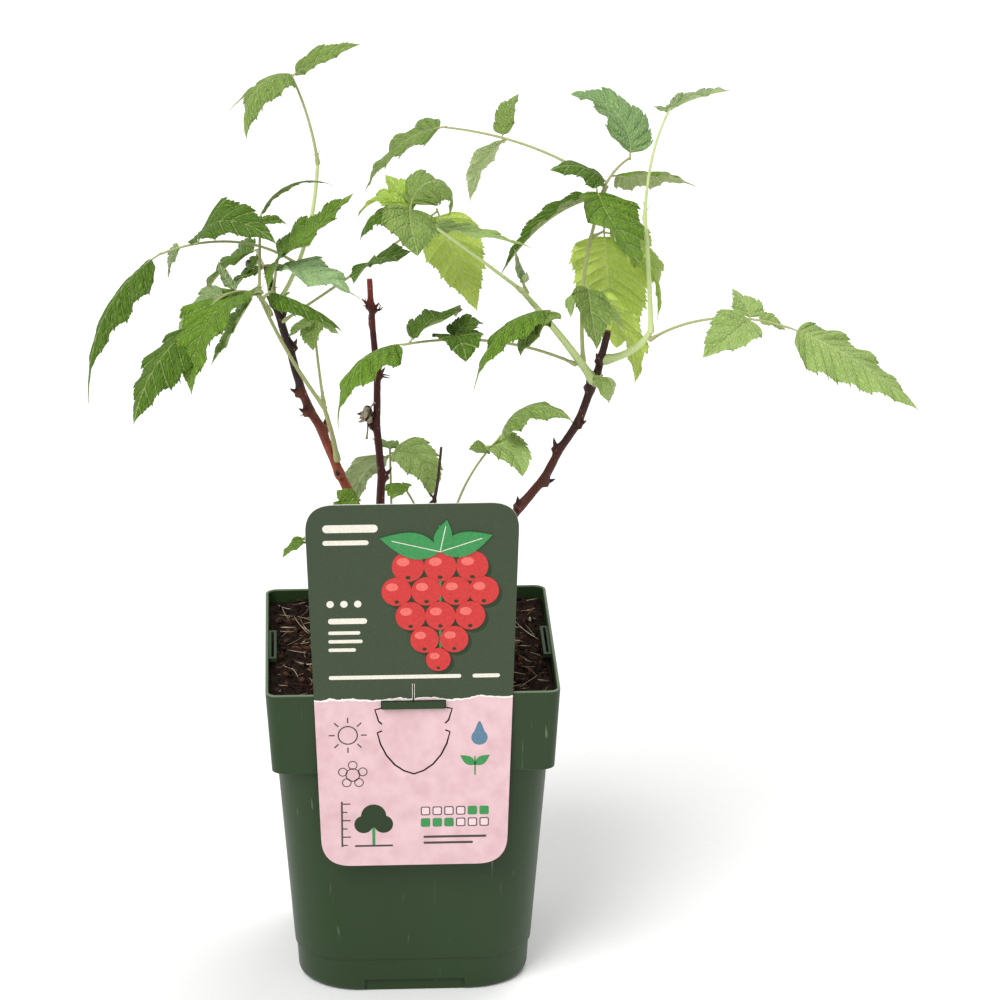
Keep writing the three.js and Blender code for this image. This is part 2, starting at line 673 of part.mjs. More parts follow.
    name: "leaf_low_arch", foot: [12, -4], turn: 214, rise: 100, veer: -7, bend: -43, long: 87,
    leaflets: [leaflet(1, 244, -19, 12, 12, { roll: 10 })],
  },
  {
    name: "leaf_left_foot", foot: [-13, -13], turn: 200, rise: 82, veer: 29, bend: -6, long: 81,
    leaflets: [
      leaflet(1, 245, -19, 14, 13, { roll: 16 }),
      leaflet(0.97, 165, 41, 10, 11, { roll: -31 }),
    ],
  },
  {
    name: "leaf_low_left", foot: [-19, 3], turn: 201, rise: 98, veer: 6, bend: -73, long: 70,
    leaflets: [
      leaflet(1, 210, -32, 14, 10, { roll: 12 }),
      leaflet(0.86, 130, 10, 16, 11, { bend: -50 }),
    ],
  },
  {
    name: "leaf_node_tuft", on: "cane_right", at: 0.85, turn: 281, rise: 32, long: 13,
    leaflets: [
      leaflet(1, 259, -29, 14, 9, { veer: 45, bend: -18, roll: -22 }),
      leaflet(0.9, 54, -18, 19, 7, { veer: 21, bend: -83 }),
    ],
  },
  {
    name: "leaf_bud_tuft", on: "cane_left", at: 0.9, turn: 276, rise: 35, long: 7,
    leaflets: [
      leaflet(1, 225, 45, 9, 6),
      leaflet(0.85, 320, 35, 9, 6),
    ],
  },
  {
    name: "leaf_low_back", foot: [4, 19], turn: 60, rise: 70, bend: -60, long: 52,
    leaflets: [
      leaflet(1, 70, 5, 46, 28, { bend: -60 }),
      leaflet(0.92, 5, 12, 24, 20, { bend: -70 }),
      leaflet(0.9, 140, 12, 34, 22, { bend: -70 }),
    ],
  },
  {
    name: "leaf_low_behind", foot: [-11, 20], turn: 118, rise: 76, bend: -66, long: 46,
    leaflets: [
      leaflet(1, 112, -5, 38, 24, { bend: -50 }),
      leaflet(0.9, 195, 15, 20, 15, { bend: -70 }),
    ],
  },
];

// Half the width of a blade at a share of its length: full near the foot, drawn out at the tip.
function bladeHalf(share, wide) {
  const along = Math.max(0, (share - BLADE_STALK) / (1 - BLADE_STALK));
  return (wide / 2) * 2.6 * Math.sqrt(along) * (1 - along);
}

function growBlade(stalk, blade) {
  const { top, ahead } = attitude(blade.turn, blade.rise);
  const sunk = blade.at === 1 ? -1.2 : -0.2;
  const line = new Growth(stalk.at(blade.at).addScaledVector(ahead, sunk).addScaledVector(top, 0.1), blade);
  const root = 0.6;
  const tip = 0.3;
  const thick = Math.max(BLADE_THICK, blade.long / 75) / 2;
  const fold = radians(blade.fold ?? FOLD);
  const long = blade.long > LONG_BLADE.from;
  const stations = long ? LONG_BLADE.stations : SHORT_STATIONS;
  const rings = stations.map((share) => {
    const pose = line.attitude(share, blade.roll ?? 0);
    const middle = line.at(share);
    const half = Math.max(bladeHalf(share, blade.wide), share < 0.5 ? root : tip);
    const out = half * Math.cos(fold);
    const up = half * Math.sin(fold);
    const point = (aside, above) => middle.clone()
      .addScaledVector(pose.side, aside)
      .addScaledVector(pose.top, above);
    const edge = long ? thick * 0.7 : 0;
    const rim = (aside) => (long ? [point(aside, up + edge), point(aside, up - edge)] : [point(aside, up)]);
    return [point(0, thick), ...rim(out), point(0, -thick), ...rim(-out).reverse()];
  });
  return toSolid(loft(rings));
}

function growLeaf(leaf) {
  const stalk = { thick: [2 * LEAF_STALK.foot, 2 * LEAF_STALK.tip], ...leaf };
  const line = new Growth(seat(stalk), stalk);
  const steps = Math.max(2, Math.ceil(stalk.long / 14));
  const stem = taper(stalk, line, LEAF_STALK.sides, steps);
  return fuse([stem, ...leaf.leaflets.map((blade) => growBlade(line, blade))]);
}

// ---------------------------------------------------------------- assembly
const FINISHES = {
  pot: new THREE.MeshStandardMaterial({ color: COLOURS.pot, roughness: 0.45, metalness: 0 }),
  soil: new THREE.MeshStandardMaterial({ color: COLOURS.soil, roughness: 0.95, metalness: 0 }),
  label: new THREE.MeshStandardMaterial({ color: COLOURS.label, roughness: 0.5, metalness: 0 }),
  bark: new THREE.MeshStandardMaterial({ color: COLOURS.bark, roughness: 0.6, metalness: 0 }),
  stem: new THREE.MeshStandardMaterial({ color: COLOURS.stem, roughness: 0.55, metalness: 0 }),
  leaf: new THREE.MeshStandardMaterial({ color: COLOURS.leaf, roughness: 0.6, metalness: 0 }),
};

const plant = new THREE.Group();

function place(name, solid, finish) {
  const mesh = new THREE.Mesh(toGeometry(solid), FINISHES[finish].clone());
  mesh.name = name;
  plant.add(mesh);
}

place("pot", pot(), "pot");
place("soil", soil(), "soil");
place("label", label(), "label");
for (const limb of LIMBS) {
  place(limb.name, growLimb(limb), limb.buds ? "bark" : "stem");
}
for (const leaf of LEAVES) {
  place(leaf.name, growLeaf(leaf), "leaf");
}

export default plant;
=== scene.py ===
"""Raspberry cane in a square nursery pot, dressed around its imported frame.

Sizes are millimetres and become metres as each mesh is made. A heading is given in plan as turn (0 right,
90 back, 180 left, 270 front) and as rise above level, both in degrees; veer and bend say how far they
change over the length, and hook is the part of the rise that comes on late.
"""

import logging
import math
from collections.abc import Sequence
from dataclasses import dataclass, field
from enum import Enum

import bmesh
import bpy
import numpy as np
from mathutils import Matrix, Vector


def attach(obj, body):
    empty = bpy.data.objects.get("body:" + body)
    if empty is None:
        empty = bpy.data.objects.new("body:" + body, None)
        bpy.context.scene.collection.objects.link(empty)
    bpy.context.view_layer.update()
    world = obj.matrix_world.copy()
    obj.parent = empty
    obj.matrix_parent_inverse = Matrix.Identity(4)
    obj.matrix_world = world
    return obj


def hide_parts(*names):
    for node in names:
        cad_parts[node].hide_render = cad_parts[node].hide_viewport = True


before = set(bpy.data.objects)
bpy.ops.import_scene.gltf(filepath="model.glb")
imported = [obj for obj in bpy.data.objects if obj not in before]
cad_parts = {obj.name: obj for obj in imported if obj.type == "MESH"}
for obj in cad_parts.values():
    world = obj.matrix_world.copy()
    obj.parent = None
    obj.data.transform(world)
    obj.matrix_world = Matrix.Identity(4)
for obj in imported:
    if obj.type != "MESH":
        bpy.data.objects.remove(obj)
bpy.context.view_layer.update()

LOG = logging.getLogger("raspberry")
MM = 0.001
Array = np.ndarray
Draw = np.random.Generator
Number = Array | float
Piece = bpy.types.Object
Socket = bpy.types.NodeSocket
Places = tuple[tuple[float, float], ...]

# ------------------------------------------------------------------ driving dimensions, millimetres
CLEAR = 0.3  # air between neighbours that touch on the real plant
POT_HEIGHT = 150.8
RIM_HALF = 65.0
COLLAR_FOOT_HALF = 62.7
COLLAR_FOOT_Z = 112.0
BODY_TOP_HALF = 60.3
BODY_FOOT_HALF = 52.9
FOOT_BAND_Z = 16.3
WALL = 1.4
FLOOR_UNDER_Z = 6.2
FLOOR_TOP_Z = 8.6
COLLAR_CORNER = 5.0
BODY_CORNER = 18.0
FOOT_CORNER = 27.0
SOIL_TOP = 146.0
FOLD = 16.0  # degrees that each half of a blade stands up from its midrib
NARROW = 0.5  # sine of the angle below which a branch sets off beside its limb
ONWARD = 0.5  # cosine above which a limb carries on the one that bears it
BLADE_STALK = 0.07  # share of a leaflet's length that is bare stalk
HUSK_AT = 0.63  # share of the middle cane beside which its withered bud hangs
BRISTLE = 0.9  # length of the bristles on green stems
CROWN_FOOT_Z = 262.0  # leaves that end under this height make the low mass
CROWN_HALF = 45.0  # leaves that end further out make the left and right masses


# ------------------------------------------------------------------ meshes under construction
class Skin:
    """A mesh under construction: points in millimetres, faces, and the finish slot of each face."""

    def __init__(self) -> None:
        """Starts with nothing in it."""
        self.points: list[Array] = []
        self.faces: list[tuple[int, ...]] = []
        self.slots: list[int] = []
        self.notes: dict[str, list[Array]] = {}
        self.count = 0

    def cover(self, faces: Sequence[Sequence[int]], slot: int, start: int) -> None:
        """Adds faces of one finish slot, their corners counted from a point."""
        self.faces.extend(tuple(int(corner) + start for corner in face) for face in faces)
        self.slots.extend([slot] * len(faces))

    def add(self, points: Array, faces: Sequence[Sequence[int]], slot: int = 0, **notes: Array) -> None:
        """Adds points and the faces on them.

        Args:
            points: the corners, one row each.
            faces: each face's corners, counted from the first of these points.
            slot: finish slot of the faces.
            notes: numbers held at each corner for the finish to read.
        """
        self.cover(faces, slot, self.count)
        self.points.append(np.asarray(points, float))
        self.count += len(points)
        for name, values in notes.items():
            self.notes.setdefault(name, []).append(np.asarray(values, float))

    def form(self, rings: Sequence[Array], slot: int = 0) -> "Skin":
        """Adds a closed form through a row of rings, with a face over each end.

        Args:
            rings: rings of one size, counter-clockwise about the way to the next.
            slot: finish slot.

        Returns:
            The mesh itself.
        """
        size, last = len(rings[0]), (len(rings) - 1) * len(rings[0])
        faces = [(a + k, a + (k + 1) % size, a + (k + 1) % size + size, a + k + size)
                 for a in range(0, last, size) for k in range(size)]
        ends = [tuple(range(size - 1, -1, -1)), tuple(range(last, last + size))]
        self.add(np.vstack(rings), faces + ends, slot)
        return self

    def sprig(self, start: Array, habit: "Habit", radii: Array, section: Sequence[float],
              slot: int = 0) -> None:
        """Adds a small closed form that grows from a start, with its radii spread evenly along it."""
        shares = np.linspace(0, 1, len(radii))
        self.form(Growth(start, habit).rings(shares, radii, section), slot)

    def plate(self, edge: Array, front: float, back: float, slot: int = 0) -> "Skin":
        """Adds an upright plate between two depths, its edge x and z, counter-clockwise from the front."""
        return self.form([np.insert(edge, 1, y, axis=1) for y in (back, front)], slot)

    def piece(self, name: str, finishes: Sequence["Finish"], crease: float = 40.0) -> Piece:
        """Makes the finished object.

        Args:
            name: the piece's name.
            finishes: the finish of each slot.
            crease: angle in degrees past which an edge stays sharp; 0 shades every face flat.

        Returns:
            The object, linked to the scene.
        """
        mesh = bpy.data.meshes.new(name)
        mesh.from_pydata((np.vstack(self.points) * MM).tolist(), [], self.faces)
        for finish in finishes:
            mesh.materials.append(finish.material())
        mesh.polygons.foreach_set("material_index", self.slots)
        mesh.polygons.foreach_set("use_smooth", [crease > 0] * len(self.faces))
        if crease > 0:
            mesh.set_sharp_from_angle(angle=math.radians(crease))
        for note, values in self.notes.items():
            layer = mesh.attributes.new(note, "FLOAT", "POINT")
            layer.data.foreach_set("value", np.concatenate(values).astype(np.float32))
        mesh.validate()
        piece = bpy.data.objects.new(name, mesh)
        bpy.context.scene.collection.objects.link(piece)
        return piece


def settle(piece: Piece, slot: str, *nodes: str) -> None:
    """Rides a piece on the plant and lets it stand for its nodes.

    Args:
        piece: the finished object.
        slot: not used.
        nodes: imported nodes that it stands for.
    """
    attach(piece, "root")
    if nodes:
        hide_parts(*nodes)
    LOG.info("%s: %d faces, stands for %d nodes", piece.name, len(piece.data.polygons), len(nodes))


def carve(body: Piece, tool: Piece, operation: str = "DIFFERENCE") -> None:
    """Cuts or joins two closed forms and removes the second.

    Args:
        body: the form that stays.
        tool: the form that cuts it or joins it.
        operation: DIFFERENCE or UNION.
    """
    step = body.modifiers.new("carve", "BOOLEAN")
    step.object = tool
    step.operation = operation
    step.solver = "EXACT"
    seen = body.evaluated_get(bpy.context.evaluated_depsgraph_get())
    mesh = bpy.data.meshes.new_from_object(seen)
    body.modifiers.clear()
    body.data = mesh
    bpy.data.objects.remove(tool)


def turned(points: Array, angle: float) -> Array:
    """Turns flat points counter-clockwise about their origin by an angle in radians."""
    cos, sin = math.cos(angle), math.sin(angle)
    return points @ np.array([[cos, sin], [-sin, cos]])


def circle(sides: int) -> Array:
    """Angles of so many points evenly round a circle."""
    return 2 * np.pi * np.arange(sides) / sides


def oval(x: float, y: float, wide: float, tall: float, sides: int = 40) -> Array:
    """Edge of an oval, by its middle and its half sizes."""
    angle = circle(sides)
    return np.stack([x + wide * np.cos(angle), y + tall * np.sin(angle)], axis=1)


def bell(far: Array, wide: float) -> Array:
    """A smooth swelling: 1 at its middle, falling away over a width."""
    return np.exp(-((far / wide) ** 2))


def draws(rng: Draw, *spans: tuple[float, float]) -> list[float]:
    """One random number from each span, in order."""
    return [rng.uniform(*span) for span in spans]


def cell_noise(rng: Draw, cells: tuple[int, int], size: tuple[int, int]) -> Array:
    """Soft random relief that closes on itself across its columns.

    Args:
        rng: the seeded draw.
        cells: rows and columns of random values.
        size: rows and columns wanted.

    Returns:
        The relief, from -0.5 to 0.5.
    """
    grid = rng.random((cells[0] + 1, cells[1]))
    down = np.linspace(0, cells[0] - 1e-6, size[0])
    across = np.arange(size[1]) * cells[1] / size[1]
    i, j = down.astype(int), across.astype(int)
    u, v = (down - i)[:, None], (across - j)[None, :]
    u, v = u * u * (3 - 2 * u), v * v * (3 - 2 * v)
    j2 = (j + 1) % cells[1]
    top = grid[i][:, j] * (1 - v) + grid[i][:, j2] * v
    low = grid[i + 1][:, j] * (1 - v) + grid[i + 1][:, j2] * v
    return top * (1 - u) + low * u - 0.5


# ------------------------------------------------------------------ growth
def forward(turn: Number, rise: Number) -> Array:
    """Unit direction of a heading in degrees, one row for each."""
    h, c = np.radians(turn), np.radians(rise)
    return np.stack([np.cos(c) * np.cos(h), np.cos(c) * np.sin(h), np.sin(c) + 0 * h], axis=-1)


class Growth:
    """A line that sets off from a start and swings evenly as it goes."""

    STEPS = 96

    def __init__(self, start: Array, habit: "Habit") -> None:
        """Lays the line.

        Args:
            start: where it begins.
            habit: how it heads and how long it grows.
        """
        self.start = np.asarray(start, float)
        self.habit = habit
        share = (np.arange(self.STEPS) + 0.5) / self.STEPS
        steps = forward(*self.heading(share)) * habit.long / self.STEPS
        self.points = np.vstack([self.start, self.start + np.cumsum(steps, axis=0)])

    def heading(self, share: Number) -> tuple[Number, Number]:
        """Turn and rise at a share of the length."""
        habit = self.habit
        return habit.turn + habit.veer * share, habit.rise + habit.bend * share + habit.hook * share**2

    def at(self, share: Number) -> Array:
        """Finds places on the line; past its ends it carries straight on.

        Args:
            share: shares of the length.

        Returns:
            The places.
        """
        share = np.asarray(share, float)
        inside = np.clip(share, 0, 1)
        step = np.minimum((inside * self.STEPS).astype(int), self.STEPS - 1)
        part = (inside * self.STEPS - step)[..., None]
        points = self.points[step] * (1 - part) + self.points[step + 1] * part
        beyond = (share - inside) * self.habit.long
        return points + forward(*self.heading(inside)) * beyond[..., None]

    def pose(self, share: Number, roll: Number = 0.0) -> tuple[Array, Array, Array]:
        """Finds how the line stands.

        Args:
            share: shares of the length.
            roll: degrees that it is rolled about the way ahead.

        Returns:
            The directions ahead, to its top and to its right.
        """
        turn, rise = self.heading(np.asarray(share, float))
        ahead, top = forward(turn, rise), forward(turn, rise + 90)
        side = np.cross(ahead, top)
        tip = np.radians(roll) * np.ones_like(turn)
        cos, sin = np.cos(tip)[..., None], np.sin(tip)[..., None]
        return ahead, top * cos + side * sin, side * cos - top * sin

    def outward(self, share: float, angle: float) -> tuple[Array, Array]:
        """Direction ahead, and straight out of the line at an angle round it."""
        ahead, top, side = self.pose(share)
        return ahead, top * math.cos(angle) + side * math.sin(angle)

    def rings(self, shares: Array, radii: Array, section: Sequence[float] | None = None) -> Array:
        """Lays rings round the line.

        Args:
            shares: where each ring stands.
            radii: radius of each ring, or of each of its points.
            section: how far each point round a ring stands out, as a share of the ring's radius.

        Returns:
            Points by ring and by place round it.
        """
        radii = radii if section is None else np.outer(radii, section)
        angle = circle(radii.shape[1])[None, :, None]
        _, top, side = self.pose(shares)
        out = top[:, None] * np.cos(angle) + side[:, None] * np.sin(angle)
        return self.at(shares)[:, None] + out * radii[..., None]


@dataclass
class Habit:
    """How a limb, stalk or blade heads and how far it grows."""

    turn: float
    rise: float
    long: float
    veer: float = 0.0
    bend: float = 0.0
    hook: float = 0.0


@dataclass
class Limb(Habit):
    """A cane or a green shoot: where it begins, and its thickness at foot and tip."""

    name: str = ""
    thick: tuple[float, float] = (2.0, 1.6)
    foot: tuple[float, float] | None = None
    on: str = ""
    at: float = 1.0
    buds: int = 0
    line: Growth | None = None

    def radius(self, share: Number) -> Number:
        """Radius at a share of the length."""
        return (self.thick[0] + (self.thick[1] - self.thick[0]) * share) / 2

    def seat(self, grown: dict[str, "Limb"]) -> Array:
        """Finds where the limb begins: CLEAR over the compost, or CLEAR away from what bears it.

        Args:
            grown: the limbs that stand already, by name.

        Returns:
            The place.
        """
        if self.foot:
            return np.array([*self.foot, SOIL_TOP + CLEAR])
        bearer = grown[self.on]
        place = bearer.line.at(self.at)
        along = bearer.line.pose(self.at)[0]
        ahead = forward(self.turn, self.rise)
        cosine = abs(float(along @ ahead))
        sine = math.sqrt(1 - cosine * cosine)
        radius = self.thick[0] / 2
        if self.at == 1 and along @ ahead > ONWARD:
            return place + ahead * (CLEAR + radius * sine) / cosine
        apart = bearer.radius(self.at) + CLEAR + radius * cosine
        if sine > NARROW:
            return place + ahead * apart / sine
        aside = ahead - along * (along @ ahead)
        return place + aside / np.linalg.norm(aside) * apart

    def grow(self, grown: dict[str, "Limb"]) -> None:
        """Lays the limb's line and enters it among the grown ones."""
        self.line = Growth(self.seat(grown), self)
        grown[self.name] = self


@dataclass(frozen=True)
class Shade:
    """Colours of a leaflet: upper face, underside and veins, how clearly veins show and how strongly shade is
    painted into their valleys.
    """

    upper: str
    under: str
    vein: str
    clear: float = 0.5
    valley_shade: float = 0.65


class Tone(Enum):
    """How a leaflet stands in the light: lighter and darker copies of the leaf greens that carry painted
    light and shade, beside the leaves' own tints such as their silvery undersides.
    """

    DEEP = Shade("#4f711f", "#84955f", "#a5bb70", 0.65)
    FRESH = Shade("#658a2a", "#93a56f", "#a8bf6c", 0.55)
    LIT = Shade("#77934a", "#9db07a", "#b9ca86", 0.5, 0.35)
    BRIGHT = Shade("#8fab63", "#a6ba82", "#c1d08c", 0.45, 0.15)
    BACKLIT = Shade("#95b54a", "#b4cd66", "#d3e293", 0.4, 0.2)
    BLUISH = Shade("#779960", "#9ab189", "#b3cb9a", 0.45, 0.4)
    HAZY = Shade("#94b57f", "#a9be9c", "#c0d5aa", 0.4, 0.35)
    SILVER = Shade("#88a06c", "#b0c690", "#ccd8b4", 0.5, 0.35)
    DUSKY = Shade("#5c6f3a", "#75766a", "#8b8f73", 0.2)


@dataclass
class Leaflet(Habit):
    """One toothed blade of a leaf."""

    at: float = 1.0
    wide: float = 10.0
    roll: float = 0.0
    fold: float = FOLD
    tail: float = 0.0
    blunt: float = 0.0
    sag: float = 0.0
    wring: float = 0.0
    tone: Tone | None = None


@dataclass
class Leaf(Limb):
    """A stalk and its leaflets."""

    thick: tuple[float, float] = (1.4, 1.0)
    tone: Tone = Tone.FRESH
    leaflets: list[Leaflet] = field(default_factory=list)


def leaflet(at: float, turn: float, rise: float, long: float, wide: float, **habit: object) -> Leaflet:
    """A leaflet at a share of its stalk, with its heading, length and width."""
    return Leaflet(at=at, turn=turn, rise=rise, long=long, wide=wide, **habit)


CANES = [
    Limb(name="cane_left", foot=(4, -4), turn=171, rise=72, veer=31, bend=-28, hook=37, long=197,
         thick=(4.8, 3.4), buds=9),
    Limb(name="cane_middle", foot=(-13, 6), turn=78, rise=86, veer=32, bend=-23, hook=17, long=167,
         thick=(4.6, 2.6), buds=7),
    Limb(name="cane_right", foot=(0, 5), turn=358, rise=56, veer=10, bend=-36, hook=62, long=174,
         thick=(4.8, 3.3), buds=11),
    Limb(name="cane_stub", foot=(10, 14), turn=37, rise=88, veer=4, bend=-5, long=90,
         thick=(1.8, 1.2), buds=3),
]
SHOOTS = [
    Limb(name="shoot_left", on="cane_left", at=0.515, turn=252, rise=67, veer=-16, bend=-3, long=30,
         thick=(2.4, 1.8)),
    Limb(name="shoot_fork", on="shoot_left", turn=210, rise=55, veer=-9, bend=13, long=63,
         thick=(1.8, 1.4)),
    Limb(name="shoot_crest", on="cane_left", at=0.9, turn=22, rise=55, veer=51, bend=24, long=63,
         thick=(2.0, 1.6)),
    Limb(name="shoot_front", on="cane_right", at=0.86, turn=224, rise=51, veer=-9, bend=-3, long=65,
         thick=(3.8, 2.2)),
    Limb(name="shoot_right", on="cane_right", at=0.92, turn=341, rise=14, veer=-9, bend=48, long=26,
         thick=(3.6, 2.6)),
    Limb(name="shoot_tall", on="shoot_right", turn=96, rise=78, veer=8, bend=-6, long=49,
         thick=(2.2, 1.8)),
    Limb(name="shoot_back", on="shoot_front", at=0.12, turn=103, rise=75, veer=-76, bend=-9, long=77,
         thick=(1.8, 1.4)),
]
